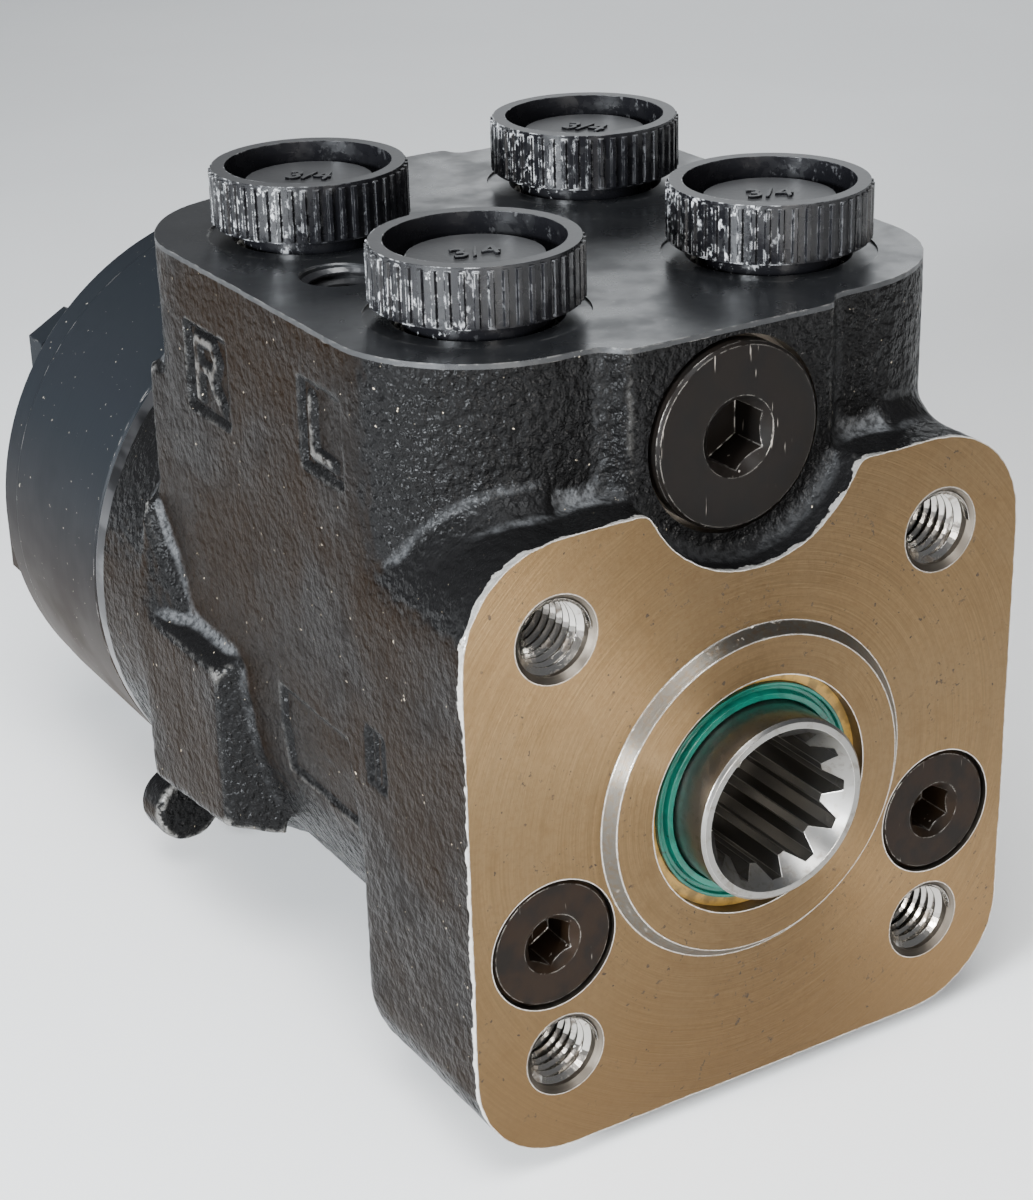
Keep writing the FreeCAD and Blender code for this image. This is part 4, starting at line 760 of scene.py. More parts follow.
    def bump(self, height, depth, strength=1.0):
        """Small relief, depth millimetres high, on top of what is there."""
        made = self.node("ShaderNodeBump", Height=height, Strength=strength, Distance=depth * MM)
        target = self.shader.inputs["Normal"]
        if target.is_linked:
            self.tree.links.new(target.links[0].from_socket, made.inputs["Normal"])
        self.tree.links.new(made.outputs["Normal"], target)

    def soften(self, radius):
        """Round the sharp edges a little in the shading alone."""
        made = self.node("ShaderNodeBevel", samples=6, Radius=radius * MM)
        self.tree.links.new(made.outputs["Normal"], self.shader.inputs["Normal"])


print("a finish can:", [word for word in vars(Finish) if not word.startswith("_")])

# %% [markdown]
# The paint on the casting is a satin black over pebbled iron. One flat black would look
# like a hole in the picture. The flat of its left wall gets a painted brown reflection of
# the warm ground, and it is duller in patches, so both are mixed in where noise allows.

# %% Paint and its painted brown reflection
BLACK = (0.0046, 0.0045, 0.0046)
paint = Finish("cast_paint", BLACK, 0.23, specular=0.062)
toward = paint.facing()
faces_left = paint.ramp(toward["X"], -0.95, -0.996)
# painted reflection: a brown tint on the faces turned left, for the warm ground they mirror
left_wall_brown_reflection = paint.times(faces_left, paint.patches(24, 0.34, 0.62, 2, rest=0.35))
paint.mixed(left_wall_brown_reflection, "Base Color", (0.0055, 0.0027, 0.0009))
paint.mixed(left_wall_brown_reflection, "Roughness", 0.42)
paint.mixed(paint.patches(4, 0.42, 0.72, 4), "Roughness", 0.5)
print("nodes in the paint so far:", len(paint.tree.nodes))

# %% [markdown]
# Every machined edge has lost its paint and shows as a broken silver line, and raised
# corners and letters are rubbed grey. The line follows the distance behind the front
# face and below the port face, with noise added so that it chips and breaks off. The
# rubbed corners come from the values that the skin's points kept.

# %% Bare edges of the paint
BARE = (0.66, 0.64, 0.60)
broken = paint.patches(1.5, 0.44, 0.56, 5, 0.65)
attribute = paint.node("ShaderNodeAttribute", attribute_name="wear").outputs["Fac"]
rubbed = paint.times(paint.ramp(attribute, 0.35, 0.95, 0.0, 0.17), broken)
chips = paint.patches(3.2, 0.34, 0.66, 5, 0.6, rest=-0.4, full=0.4)
long_chips = paint.patches(11, 0.45, 0.62, 2, rest=-0.25, full=0.45, shift=6.0)
behind_front = paint.plus(paint.along("Y"), paint.plus(chips, long_chips))
upper = paint.ramp(paint.along("Z"), 12.0, 34.0)
near_corner = paint.times(upper, paint.ramp(paint.along("X"), -24.0, -34.0))
behind_front = paint.minus(behind_front, paint.times(near_corner, 0.55))
on_left = paint.ramp(paint.along("X"), -10.0, -34.0, 0.3, 1.0)
front_edge = paint.times(paint.ramp(behind_front, 0.55, 0.35), on_left)
below_top = paint.minus(PORT_FACE, paint.along("Z"))
below_top = paint.plus(below_top, paint.times(chips, 0.45))
worn_stretch = paint.patches(9, 0.38, 0.52, 2, rest=0.12)
top_edge = paint.times(paint.ramp(below_top, 0.6, 0.4), worn_stretch)
bare_iron = paint.larger(rubbed, paint.larger(front_edge, top_edge))
paint.mixed(bare_iron, "Base Color", BARE)
paint.mixed(paint.times(bare_iron, 0.8), "Metallic", 1.0)
paint.mixed(bare_iron, "Roughness", 0.34)
print("nodes with the bare edges:", len(paint.tree.nodes))

# %% [markdown]
# A pale painted highlight lies where the skin is hollow and faces up, as on the lit
# fillets, less so beside the relief plug, and a few light crumbs stick to the walls. The
# grain of the sand is too fine for the mesh, so it's a bump in the shading, calmer on top
# and on the flat of the left wall.

# %% Painted highlight in the folds, and grain on the paint
hollow = paint.node("ShaderNodeAttribute", attribute_name="hollow").outputs["Fac"]
highlight_grains = paint.patches(0.8, 0.35, 0.6, rest=0.3)
# painted highlight: a pale sheen laid in hollows that face up, where the fillets catch the light
fold_highlight = paint.times(paint.ramp(hollow, 0.35, 1.0, 0.0, 0.55), highlight_grains)
fold_highlight = paint.times(fold_highlight, paint.ramp(toward["Z"], -0.2, 0.3))
beside_plug = paint.ramp(paint.maths("ABSOLUTE", paint.along("X")), 17.0, 20.0, 0.2, 1.0)
fold_highlight = paint.times(fold_highlight, beside_plug)
paint.mixed(fold_highlight, "Base Color", (0.105, 0.108, 0.112))
paint.mixed(fold_highlight, "Roughness", 0.45)
crumbs = paint.patches(0.9, 0.745, 0.77, 2, 0.5, shift=3.1)
paint.mixed(crumbs, "Base Color", (0.34, 0.29, 0.22))
calm = paint.ramp(toward["Z"], 0.15, 0.6, 1.0, 0.4)
calm = paint.times(calm, paint.ramp(faces_left, 0.0, 1.0, 1.0, 0.5))
paint.bump(paint.times(paint.noise(1.25, 2, 0.5), calm), 1.0)
paint.bump(paint.noise(0.5, 2, 0.5, shift=1.7), 0.10)
print("finish:", paint.material.name, "with", len(paint.tree.nodes), "nodes")

# %% [markdown]
# The front was faced with a milling cutter and left bare under a thin film of
# preserving oil, which turns the grey iron golden brown. The tool left fine tracks round
# the shaft, so the glare is drawn out across them: the shader is anisotropic, and its
# tangent points away from the shaft. The tracks themselves are noise that depends almost
# only on the distance from the shaft.

# %% Milled front and its tracks
milled = Finish("milled_iron", (0.170, 0.110, 0.054), 0.38, 0.95, 0.15)
milled.shader.inputs["Anisotropic"].default_value = 0.85
milled.tree.links.new(milled.where, milled.shader.inputs["Tangent"])
radius = milled.from_shaft()
rings = milled.node(
    "ShaderNodeCombineXYZ", X=radius,
    Y=milled.times(milled.along("X"), 0.02), Z=milled.times(milled.along("Z"), 0.02),
).outputs["Vector"]
tracks = milled.node("ShaderNodeTexNoise", Vector=rings, Scale=3.0, Detail=3.0, Roughness=0.65).outputs["Fac"]
milled.mixed(milled.ramp(tracks, 0.3, 0.7), "Base Color", (0.135, 0.087, 0.042))
milled.mixed(milled.patches(1.1, 0.4, 0.75, 4, 0.6), "Roughness", 0.47)
milled.bump(tracks, 0.06)
milled.bump(milled.noise(0.6, 3), 0.02)
print("nodes in the milled front so far:", len(milled.tree.nodes))

# %% [markdown]
# Oil dries unevenly, so the face has browner clouds and stains, and it is darker towards
# the bottom. Dirt sits in small pores as dark specks that crowd round the boss, and the
# sharp rim, polished by handling, also carries a painted highlight. Each is one more
# colour, mixed over the last where its mask says.

# %% Stains, pores and bright rim
milled.mixed(milled.patches(14, 0.4, 0.65, full=0.6), "Base Color", (0.155, 0.103, 0.053))
stains = milled.patches(5, 0.52, 0.72, 5, 0.65, full=0.55, shift=7.0)
milled.mixed(stains, "Base Color", (0.12, 0.075, 0.035))
# darker towards the bottom
milled.mixed(milled.ramp(milled.along("Z"), 0.0, -45.0, 0.0, 0.6), "Base Color", (0.125, 0.073, 0.031))
pores = milled.patches(0.85, 0.62, 0.65, 4, 0.65, shift=5.0)
near_boss = milled.ramp(milled.maths("ABSOLUTE", milled.minus(radius, 27.0)), 11.0, 3.0, 0.0, 0.10)
crowd = milled.ramp(milled.plus(milled.noise(7, 2, shift=2.0), near_boss), 0.54, 0.66)
far_pores = milled.patches(1.3, 0.71, 0.73, 2, 0.5, shift=9.0)
spots = milled.larger(milled.times(pores, crowd), far_pores)
milled.mixed(spots, "Base Color", (0.030, 0.021, 0.014))
milled.mixed(spots, "Metallic", 0.1)
# painted shade: the sloping flank of the boss gets a darker colour than the flat face
flank = milled.ramp(milled.facing()["Y"], -0.93, -0.8)
milled.mixed(flank, "Base Color", (0.11, 0.10, 0.085))
# painted highlight: a near-white colour on the sharp edges, over the polished rim
rim = milled.edges(0.3, 0.01, 0.05)
milled.mixed(rim, "Base Color", (0.80, 0.77, 0.72))
milled.mixed(rim, "Roughness", 0.22)
grain = milled.patches(0.7, 0.42, 0.68, 4, 0.65, full=0.45, shift=11.0)
milled.mixed(grain, "Base Color", (0.125, 0.076, 0.035))
print("finish:", milled.material.name, "with", len(milled.tree.nodes), "nodes")

# %% [markdown]
# The port face was milled too, but painted afterwards, so it is black like the casting
# and yet smooth, and mirrors the window behind. The holes are bare and a little oily,
# with turning marks: noise squeezed along the bore, so that it forms rings.

# %% Port face and bores
port_paint = Finish("port_face_paint", (0.009, 0.0095, 0.0105), 0.27, specular=0.5)
port_paint.mixed(port_paint.patches(11, 0.42, 0.66, 4), "Roughness", 0.42)
port_chips = port_paint.patches(1.8, 0.48, 0.58, 4, 0.6)
chipped = port_paint.times(port_paint.edges(0.45, 0.02, 0.1), port_chips)
port_paint.mixed(chipped, "Base Color", (0.10, 0.098, 0.095))
port_paint.mixed(chipped, "Metallic", 0.5)
dust = port_paint.patches(0.6, 0.72, 0.78, 2, 0.5)
port_paint.mixed(dust, "Base Color", (0.09, 0.09, 0.085))
port_paint.bump(port_paint.noise(2.6, 2), 0.012)

bore_iron = Finish("bored_iron", (0.15, 0.13, 0.106), 0.36, 1.0)
bore_rings = bore_iron.noise(0.35, 2, 0.5, stretch=(0.05, 1, 0.05))
bore_iron.mixed(bore_iron.ramp(bore_rings, 0.35, 0.7), "Base Color", (0.13, 0.11, 0.09))
bore_iron.mixed(bore_iron.patches(2, 0.5, 0.7), "Roughness", 0.5)
bore_iron.bump(bore_rings, 0.01)

CASTING_FINISHES = [paint, milled, port_paint, bore_iron]
print("finishes on the casting:", [finish.material.name for finish in CASTING_FINISHES])

# %% [markdown]
# Now the cuts. Before each one, the cutter's faces get the finish that its tool leaves,
# and a boolean hands that finish to every face it cuts, so bare metal shows exactly
# where a tool went. The manifold solver is used, because it is quick on closed shells
# with this many faces. The finished casting then takes the plain housing's place.

# %% Cut the casting
SHARP_ANGLE = 38
FACE_DEPTH = 0.8
PAINTED_R, PAINTED_FROM = 6, 40

for piece in (casting, face_cutter, port_cutter, rear_cutter, hole_cutter):
    piece.data.materials.clear()
    for finish in CASTING_FINISHES:
        piece.data.materials.append(finish.material)


def cut(work, cutter, finish):
    """Take a cutter away; the faces that it leaves carry its finish."""
    for face in cutter.data.polygons:
        face.material_index = CASTING_FINISHES.index(finish)
    step = work.modifiers.new(cutter.name, "BOOLEAN")
    step.operation = "DIFFERENCE"
    step.solver = "MANIFOLD"
    step.object = cutter
    before = len(work.data.polygons)
    applied(work)
    bpy.data.objects.remove(cutter)
    print(finish.material.name, "cut, faces before and after:", before, len(work.data.polygons))


cut(casting, face_cutter, milled)
cut(casting, port_cutter, port_paint)
cut(casting, rear_cutter, bore_iron)
cut(casting, hole_cutter, bore_iron)
for face in casting.data.polygons:
    face.use_smooth = True
    middle = face.center / MM
    in_manifold = math.hypot(abs(middle.x) - MANIFOLD[0], middle.y - MANIFOLD[1]) < PAINTED_R
    if middle.z > PORT_FACE - FACE_DEPTH or (in_manifold and middle.z > PAINTED_FROM):
        face.material_index = CASTING_FINISHES.index(port_paint)
casting.data.set_sharp_from_angle(angle=math.radians(SHARP_ANGLE))
casting.name = "cast_housing"
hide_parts("housing")
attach(casting, "unit")
counts = [0] * len(CASTING_FINISHES)
for face in casting.data.polygons:
    counts[face.material_index] += 1
print("faces by finish:", counts)

# %% [markdown]
# ## Threads
# A tapped hole reads as a thread only if its turns catch the light one by one, so each
# hole gets a real helix. The ridge is a three-cornered section carried round the hole
# while it sinks by one pitch per turn, starting thin so it runs out cleanly.


# %% One helical thread
PER_TURN, RUN_IN = 40, 12
FLANK, FLAT, SUNK = 0.44, 0.06, 0.04


def thread(name, centre, axis, mouth, depth, root_r, crest_r, pitch, inward=1):
    """The turns inside one tapped hole, from its mouth inward."""
    steps = int(depth / pitch * PER_TURN)
    verts, faces = [], []
    for k in range(steps + 1):
        angle = 2 * math.pi * k / PER_TURN
        at = mouth + inward * (depth * k / steps)
        grown = min(1.0, k / RUN_IN, (steps - k) / RUN_IN)
        crest = root_r - (root_r - crest_r) * grown
        root = root_r + SUNK
        for radius, shift in ((root, -FLANK), (crest, -FLAT), (crest, FLAT), (root, FLANK)):
            u = centre[0] + radius * math.cos(angle)
            v = centre[1] + radius * math.sin(angle)
            verts.append(place(u, v, at + shift * pitch, axis))
    for k in range(steps):
        a, b = 4 * k, 4 * (k + 1)
        faces += [(a + i, a + i + 1, b + i + 1, b + i) for i in range(3)]
        faces.append((a + 3, a, b, b + 3))
    faces += [(0, 1, 2, 3), (4 * steps + 3, 4 * steps + 2, 4 * steps + 1, 4 * steps)]
    return new_piece(name, verts, faces)


print("points in one turn of thread:", 4 * PER_TURN)

# %% [markdown]
# The turns in the column holes are bright, because a tap cut them after the face was
# milled, and they get darker further in. The two manifold holes were tapped before the
# port face was painted, so their turns are black. The turns of one kind of hole are
# joined, as they share a finish and never move.

# %% Threads in the holes
thread_steel = Finish("thread_steel", (0.46, 0.44, 0.41), 0.17, 1.0)
grime = thread_steel.patches(2.2, 0.52, 0.7, 4, 0.6)
thread_steel.mixed(grime, "Base Color", (0.20, 0.17, 0.14))
thread_steel.mixed(grime, "Roughness", 0.45)
# darker further in along the hole
thread_steel.mixed(thread_steel.ramp(thread_steel.along("Y"), 3.0, 14.0), "Base Color", (0.16, 0.145, 0.125))
thread_steel.soften(0.06)
dark_thread = Finish("painted_thread", (0.012, 0.012, 0.013), 0.3)
dark_thread.mixed(dark_thread.patches(1.5, 0.5, 0.7), "Roughness", 0.45)

TAPPED_CREST, TAPPED_PITCH = 4.25, 1.5
PORT_CREST, PORT_PITCH = 9.68, 1.814
BELOW_MOUTH, BELOW_PORT_MOUTH = 0.9, 1.6
column_turns = [
    thread("turns", (x, z), "Y", BELOW_MOUTH, 19.5, TAPPED_R, TAPPED_CREST, TAPPED_PITCH)
    for x in (-COLUMN_HOLE, COLUMN_HOLE) for z in (-COLUMN_HOLE, COLUMN_HOLE)
]
manifold_turns = [
    thread(
        "turns", (side * MANIFOLD[0], MANIFOLD[1]), "Z", PORT_FACE - BELOW_MOUTH, 14.5,
        TAPPED_R, TAPPED_CREST, TAPPED_PITCH, -1,
    )
    for side in (-1, 1)
]
port_turns = [
    thread(
        "turns", (side * PORT_X, y), "Z", PORT_FACE - BELOW_PORT_MOUTH, 12.5,
        PORT_R, PORT_CREST, PORT_PITCH, -1,
    )
    for side in (-1, 1) for y in PORT_Y
]
for name, turns, finish in (
    ("column_threads", column_turns, thread_steel),
    ("manifold_threads", manifold_turns, dark_thread),
    ("port_threads", port_turns, thread_steel),
):
    piece = joined(name, turns)
    piece.data.materials.append(finish.material)
    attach(piece, "unit")
    print(name, "have", len(piece.data.polygons), "faces")

# %% [markdown]
# ## The CAD pieces
# The other pieces already have their true shapes, so they keep their meshes and only
# get finishes. The record says which material each piece is made of, so one finish is
# made for each of its material slots, and pieces that look different get their own.
#
# The gear ring and the end cover are turned steel under thin, even paint. Its colour is
# painted blue-black above and brown below, as painted reflections of the sky and the
# ground, and lathe marks run round it. The plate before them is bare ground steel with
# dark streaks.

# %% Stack of plates behind the casting
stack = Finish("stack_paint", (0.0115, 0.0132, 0.0155), 0.34, specular=0.02)
lathe_marks = stack.noise(0.5, 2, 0.5, stretch=(0.04, 1, 0.04))
# painted reflection: the blue-black base turns brown towards the bottom, as the mirrored ground
stack.mixed(stack.ramp(stack.along("Z"), 24.0, -44.0), "Base Color", (0.022, 0.0130, 0.0065))
stack.mixed(stack.patches(18, 0.4, 0.65), "Roughness", 0.46)
stack.mixed(stack.patches(0.8, 0.73, 0.76, 2, 0.5), "Base Color", (0.25, 0.23, 0.19))
stack_edge = stack.times(stack.edges(0.4, 0.03, 0.12), stack.patches(3, 0.5, 0.62, 4))
stack.mixed(stack_edge, "Base Color", (0.22, 0.21, 0.20))
stack.soften(0.3)
stack.bump(lathe_marks, 0.006)
print("finish:", stack.material.name)

plate_steel = Finish("plate_steel", (0.13, 0.13, 0.135), 0.30, 0.9)
streaks = plate_steel.patches(7, 0.45, 0.6, stretch=(1, 0.3, 1))
plate_steel.mixed(streaks, "Base Color", (0.03, 0.03, 0.033))
plate_steel.soften(0.25)
print("finish:", plate_steel.material.name)

# %% [markdown]
# The spool's end is the only bright steel that shows. Its rim is polished and carries a
# painted highlight, its outside has dull stains of old oil, and its splines lie in the shade
# of the bore. A mask made from the distance to the shaft's axis and the depth inside keeps
# the splines darker.

# %% Polished steel of the spool
SPLINE_FROM, SPLINE_TO = 10.9, 10.4
polished = Finish("polished_steel", (0.235, 0.228, 0.215), 0.28, 1.0)
stain = polished.patches(1.4, 0.5, 0.68, 5, 0.65)
polished.mixed(stain, "Base Color", (0.17, 0.155, 0.137))
polished.mixed(stain, "Roughness", 0.38)
near_axis = polished.ramp(polished.from_shaft(), SPLINE_FROM, SPLINE_TO)
in_bore = polished.times(near_axis, polished.ramp(polished.along("Y"), -3.6, -2.2))
polished.mixed(in_bore, "Base Color", (0.20, 0.19, 0.175))
polished.mixed(in_bore, "Roughness", 0.34)
# painted highlight: a near-white colour on the polished rim's edges
shine = polished.edges(0.15, 0.03, 0.14)
polished.mixed(shine, "Base Color", (0.72, 0.70, 0.66))
polished.soften(0.15)
print("finish:", polished.material.name)

# %% [markdown]
# The other steels are hidden in the closed unit and show only when it is taken apart, so
# a colour, a change of roughness and some stains are enough. Each still differs from the
# others as its maker would tell it: ground, hardened and lapped, spring-tempered, or cast.

# %% Steels inside
ground = Finish("ground_steel", (0.50, 0.485, 0.46), 0.26, 1.0)
ground.mixed(ground.patches(3, 0.45, 0.7, 4), "Base Color", (0.36, 0.34, 0.31))
ground.bump(ground.noise(0.3, 2, 0.5, stretch=(0.05, 1, 0.05)), 0.004)

bearing = Finish("bearing_steel", (0.60, 0.59, 0.57), 0.16, 1.0)
bearing.mixed(bearing.patches(2, 0.5, 0.7), "Roughness", 0.28)

spring = Finish("spring_steel", (0.22, 0.215, 0.22), 0.3, 1.0)
spring.mixed(spring.patches(1.2, 0.5, 0.7, 4), "Base Color", (0.10, 0.085, 0.07))

inside_iron = Finish("inside_iron", (0.40, 0.37, 0.33), 0.34, 1.0)
inside_iron.mixed(inside_iron.patches(2.5, 0.45, 0.7, 4), "Roughness", 0.48)
print("finishes:", [finish.material.name for finish in (ground, bearing, spring, inside_iron)])

# %% [markdown]
# The plugs and screws have a black oxide skin. The low ones are dark brown; higher up the
# colour is painted darker as shade, so the relief plug, high up in its recess, is nearly
# black. On edges the skin is rubbed through to steel, and a spanner has left fine slanting
# scratches, which are noise drawn out along one direction.

# %% Black oxide
oxide = Finish("black_oxide", (0.0105, 0.0058, 0.0030), 0.36, 0.08, specular=0.10)
oxide.mixed(oxide.patches(4, 0.42, 0.66, 4), "Base Color", (0.0055, 0.0038, 0.0026))
oxide.mixed(oxide.patches(1.5, 0.45, 0.7, 4), "Roughness", 0.45)
# painted shade: darker higher up, for the relief plug in its recess
oxide.mixed(oxide.ramp(oxide.along("Z"), 20.0, 30.0, 0.0, 0.8), "Base Color", (0.0045, 0.0042, 0.0040))
worn = oxide.times(oxide.edges(0.35, 0.03, 0.13), oxide.patches(1.3, 0.42, 0.56, 4, 0.6))
oxide.mixed(worn, "Base Color", (0.36, 0.34, 0.31))
oxide.mixed(worn, "Metallic", 1.0)
scratches = oxide.patches(0.7, 0.70, 0.74, 3, 0.5, stretch=(1.0, 1.0, 0.08), tilt=0.7)
oxide.mixed(scratches, "Base Color", (0.20, 0.18, 0.16))
oxide.soften(0.2)
oxide.bump(oxide.noise(0.5, 3), 0.01)
print("finish:", oxide.material.name)

# %% [markdown]
# A blue-green seal lies round the spool, with a yellow-brown ring around it. Seals get
# smeared by oily fingers, so this one has darker smears. The O-rings between the plates
# are plain black rubber, matt and faintly rough.

# %% Seal, plastic ring and rubber
teal = Finish("green_seal", (0.0, 0.080, 0.055), 0.25)
teal.mixed(teal.patches(3, 0.45, 0.65), "Base Color", (0.0, 0.055, 0.038))
smear = teal.patches(1.1, 0.64, 0.68, 4, 0.6, shift=1.3)
teal.mixed(smear, "Base Color", (0.01, 0.03, 0.022))
teal.soften(0.2)

amber = Finish("brown_ring", (0.30, 0.175, 0.035), 0.36, 0.3)
amber.mixed(amber.patches(2.2, 0.45, 0.62, 4), "Base Color", (0.15, 0.09, 0.02))

rubber = Finish("black_rubber", (0.014, 0.014, 0.014), 0.48)
rubber.bump(rubber.noise(0.4, 3), 0.01)
print("finishes:", [finish.material.name for finish in (teal, amber, rubber)])

# %% [markdown]
# The transport caps are moulded in black plastic with a wrinkled sheen. They have been
# knocked about: on their left sides the ridges are scuffed to a whitish grey, and the same
# whitish grey also paints the highlight that the ridges catch there.

# %% Cap plastic
plastic = Finish("cap_plastic", (0.0050, 0.0050, 0.0060), 0.18, specular=0.28)
plastic.mixed(plastic.patches(2.4, 0.42, 0.68), "Roughness", 0.38)
toward = plastic.facing()
faces_up = plastic.ramp(toward["Z"], 0.8, 0.97)
plastic.mixed(faces_up, "Base Color", (0.040, 0.040, 0.041))
plastic.mixed(faces_up, "Roughness", 0.45)
left_side = plastic.ramp(toward["X"], -0.35, -0.9)
patches = plastic.patches(1.5, 0.57, 0.66, 5, 0.7, stretch=(1, 1, 0.7))
ridge_scuffs_and_highlight = plastic.times(left_side, patches)
knocked = plastic.patches(1.6, 0.50, 0.60, 4, 0.6, shift=4.0)
nicks_and_highlight = plastic.times(plastic.edges(0.35, 0.04, 0.16), knocked)
left_caps = plastic.ramp(plastic.along("X"), -25.0, -32.0)
right_of_middle = plastic.ramp(plastic.along("X"), 0.0, 5.0)
right_caps = plastic.times(plastic.ramp(plastic.along("X"), 19.0, 12.0), right_of_middle)
left_third = plastic.ramp(plastic.larger(left_caps, right_caps), 0.0, 1.0, 0.10, 1.0)
nicks_and_highlight = plastic.times(nicks_and_highlight, left_third)
ridge_scuffs_and_highlight = plastic.times(ridge_scuffs_and_highlight, left_third)
# whitish grey on the left: partly real scuffs, partly a painted highlight on the ridges
scuffs_and_highlight = plastic.larger(ridge_scuffs_and_highlight, nicks_and_highlight)
plastic.mixed(scuffs_and_highlight, "Base Color", (0.46, 0.465, 0.475))
plastic.mixed(scuffs_and_highlight, "Roughness", 0.55)
plastic.soften(0.12)
plastic.bump(plastic.noise(1.0, 3), 0.03)
print("finish:", plastic.material.name)

# %% [markdown]
# The record lists for each piece the slot its material has, so one table from slot to
# finish dresses every piece, and nothing is forgotten. Only the distribution plate
# differs from the others of its slot, so it's named in a second table that comes first.

# %% Hand the finishes out
BY_SLOT = {
    "housing_paint": paint, "stack_paint": stack, "machined_iron": inside_iron,
    "polished_steel": polished, "ground_steel": ground, "bearing_steel": bearing,
    "spring_steel": spring, "black_oxide": oxide, "green_seal": teal, "brown_ring": amber,
    "black_rubber": rubber, "cap_plastic": plastic,
}
BY_NODE = {"distribution_plate": plate_steel}
given = {}
for part in frame["record"]["subparts"]:
    piece = nodes[part["node"]]
    finish = BY_NODE.get(part["node"], BY_SLOT[part["material_slot"]])
    piece.data.materials.clear()
    piece.data.materials.append(finish.material)
    given.setdefault(finish.material.name, []).append(part["node"])
for name, pieces in given.items():
    print(name, "on", len(pieces), "pieces")

# %% [markdown]
# Three coil springs push a poppet and two balls onto their seats. When one of these
# lifts, its spring has to get shorter, but a solid can only move as a whole. So each
# spring is shown by a copy of its mesh, fixed to the unit, and the copy does not shorten.


# %% Copies of the springs
def copy_of(node, name):
    """A copy of one of the solids, with a mesh of its own."""
    made = nodes[node].copy()
    made.data = made.data.copy()
    made.name = name
    bpy.context.scene.collection.objects.link(made)
    return made


for node, joint in (
    ("relief_spring", "relief_poppet_lift"),
    ("shock_spring_left", "shock_ball_left_lift"),
    ("shock_spring_right", "shock_ball_right_lift"),
):
    coil = copy_of(node, node + "_coil")
    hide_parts(node)
    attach(coil, "unit")
    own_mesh(coil)

# %% [markdown]
# The leaf springs lie across the spool and the sleeve. When the spool turns a little
# inside the sleeve, it takes their middle along, while their ends stay in the sleeve's
# slots, so the leaves bend. The pack of leaves is shown by two halves, each sliced across
# the stretch where it would bend, because a mesh bends only where it has points; nothing
# here makes them follow the spool or the sleeve.

# %% Leaves in two sliced halves
BEND_FROM, BEND_TO = 12.2, 16.6
BEND_STEPS = 4
slices = [BEND_FROM + (BEND_TO - BEND_FROM) * k / BEND_STEPS for k in range(BEND_STEPS + 1)]
for side, half_name in ((-1, "leaf_springs_left"), (1, "leaf_springs_right")):
    half = copy_of("centring_springs", half_name)
    bpy.context.view_layer.update()
    half.parent = None
    half.data.transform(nodes["centring_springs"].matrix_world)
    half.matrix_world = Matrix.Identity(4)
    trim = bmesh.new()
    trim.from_mesh(half.data)
    for x in [0] + slices:
        everything = trim.verts[:] + trim.edges[:] + trim.faces[:]
        bmesh.ops.bisect_plane(
            trim, geom=everything, plane_co=(side * x * MM, 0, 0), plane_no=(side, 0, 0), clear_inner=x == 0,
        )
    bmesh.ops.holes_fill(trim, edges=[edge for edge in trim.edges if edge.is_boundary], sides=0)
    trim.to_mesh(half.data)
    trim.free()
    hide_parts("centring_springs")
    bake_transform(half)
    print(half.name, "bends over", round(BEND_TO - BEND_FROM, 1), "mm")

# %% [markdown]
# Each cap has its thread size moulded on the disc, as such caps do. The numbers are
# made from Blender's own font, flattened into a mesh and set a hair above the disc.

# %% Numbers on the caps
NUMBER_SIZE, NUMBER_HEIGHT, NUMBER_BEVEL = 5.0, 0.5, 0.05
NUMBER_TWIST = math.radians(-14)
DISC_DEPTH, LIFT = 2.2, 0.05


def raised_text(name, words, size, thickness):
    """Words as a mesh, about size millimetres high, with a slight bevel."""
    curve = bpy.data.curves.new(name, "FONT")
    curve.body = words
    curve.size = size * MM
    curve.extrude = thickness * MM / 2
    curve.bevel_depth = NUMBER_BEVEL * MM
    curve.align_x = "CENTER"
    curve.align_y = "CENTER"
    source = added(name, curve)
    bpy.context.view_layer.update()
    mesh = bpy.data.meshes.new_from_object(source.evaluated_get(bpy.context.evaluated_depsgraph_get()))
    bpy.data.objects.remove(source)
    return added(name, mesh)


disc_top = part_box("port_cap_1")[1].z / MM - DISC_DEPTH
number = 0
for y in PORT_Y:
    for side in (-1, 1):
        number += 1
        mark = raised_text(f"cap_number_{number}", "3/4", NUMBER_SIZE, NUMBER_HEIGHT)
        mark.data.transform(Matrix.Rotation(NUMBER_TWIST * number, 4, "Z"))
        mark.data.transform(Matrix.Translation(Vector((side * PORT_X, y, disc_top + LIFT)) * MM))
        mark.data.materials.append(plastic.material)
        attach(mark, f"cap_{number}")
print("numbers stand on", number, "caps")

# %% [markdown]
# ## The studio
# The unit stands in soft light. A smooth dark paint or a bare metal shows mostly what is
# around it, so each light is a large panel, placed where its mirror image falls on the
# side that it has to show: a wide, weak one far behind, whose glare lies on the port
# face like a window's, one at the left for the long highlights of the casting, a low one
# in front that warms the milled face, and a broad one overhead.


# %% Lights
AIM = Vector((0, 60, 0)) * MM


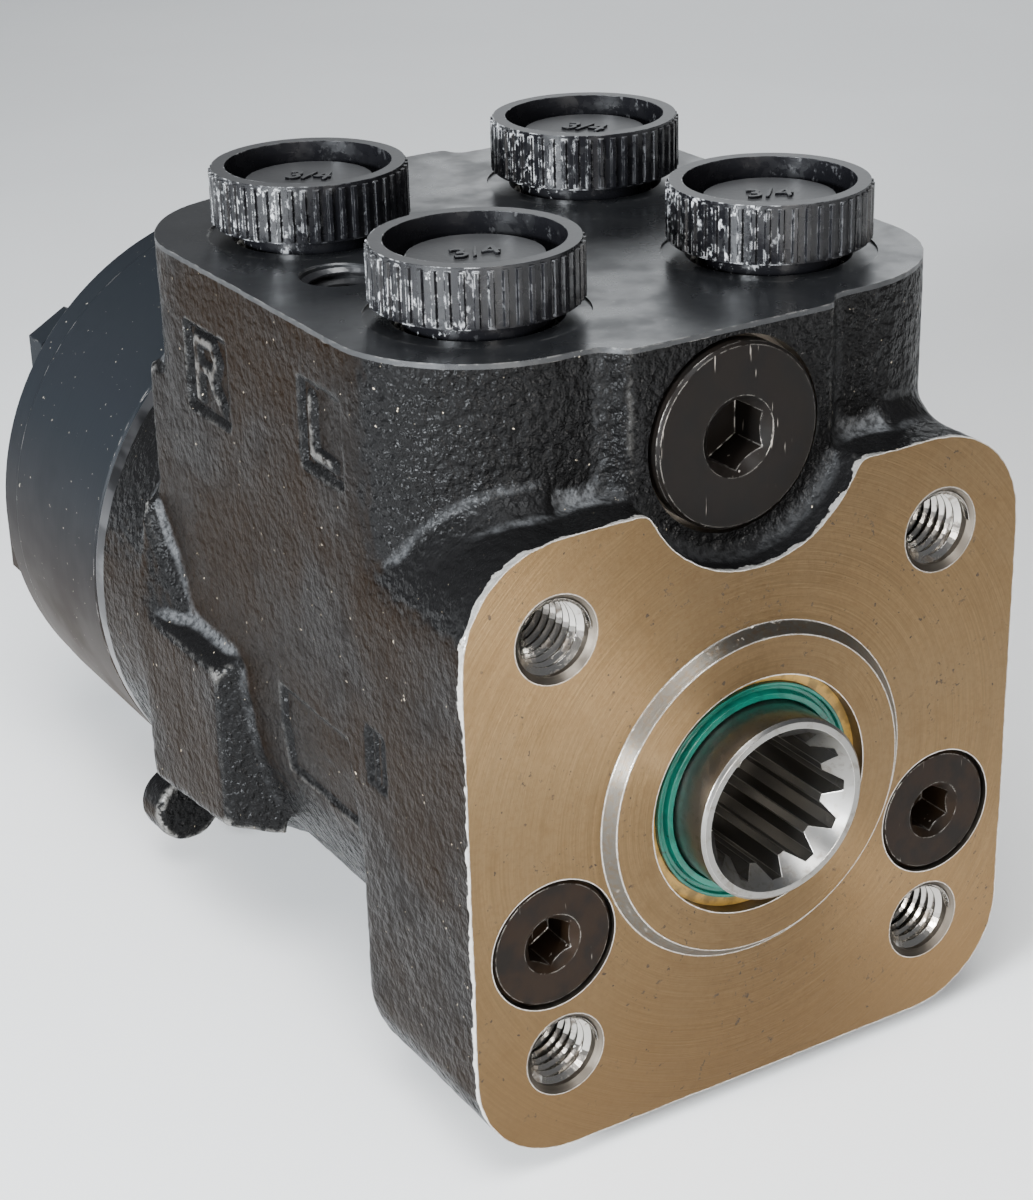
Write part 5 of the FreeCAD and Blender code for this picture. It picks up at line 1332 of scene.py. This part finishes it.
def panel_light(name, at, size, power, colour=(1, 1, 1)):
    """A square light, aimed at the middle of the unit."""
    data = bpy.data.lights.new(name, "AREA")
    data.size = size * MM
    data.energy = power
    data.color = colour
    lamp = added(name, data)
    lamp.location = Vector(at) * MM
    lamp.rotation_mode = "QUATERNION"
    lamp.rotation_quaternion = (AIM - lamp.location).to_track_quat("-Z", "Y")


panel_light("window_behind", (570, 760, 350), 380, 1.1, (0.93, 0.97, 1.0))
panel_light("left", (-690, -190, 175), 200, 20.0, (0.90, 0.95, 1.0))
panel_light("front", (-130, -700, 130), 170, 5.5, (1.0, 0.97, 0.93))
panel_light("above", (-170, -220, 650), 400, 7.5, (0.96, 0.98, 1.0))

# %% [markdown]
# The floor is one pale sheet at the height of the unit's lowest point, and the world
# above it is a plain grey that turns a little bluer overhead. Both are kept quiet, since
# every shiny piece mirrors them.

# %% Floor and sky
FLOOR_HALF = 3000
lowest = cad_box[0][2] / MM
corners = [(x, y, lowest) for x, y in box_outline(-FLOOR_HALF, FLOOR_HALF, -FLOOR_HALF, FLOOR_HALF)]
floor = new_piece("floor", corners, [(0, 1, 2, 3)])
pale = Finish("pale_floor", (0.94, 0.94, 0.93), 0.7)
pale.mixed(pale.patches(120, 0.4, 0.6), "Base Color", (0.92, 0.92, 0.91))
floor.data.materials.append(pale.material)

world = bpy.data.worlds.new("studio")
world.use_nodes = True
sky = world.node_tree
aim = sky.nodes.new("ShaderNodeTexCoord")
split = sky.nodes.new("ShaderNodeSeparateXYZ")
sky.links.new(aim.outputs["Generated"], split.inputs["Vector"])
ramp = sky.nodes.new("ShaderNodeValToRGB")
sky.links.new(split.outputs["Z"], ramp.inputs["Fac"])
ramp.color_ramp.elements[0].color = (0.24, 0.24, 0.24, 1)
ramp.color_ramp.elements[1].color = (0.20, 0.22, 0.25, 1)
sky.links.new(ramp.outputs["Color"], sky.nodes["Background"].inputs["Color"])
sky.nodes["Background"].inputs["Strength"].default_value = 1.0
bpy.context.scene.world = world
print("floor at", round(lowest, 1), "mm")

# %% [markdown]
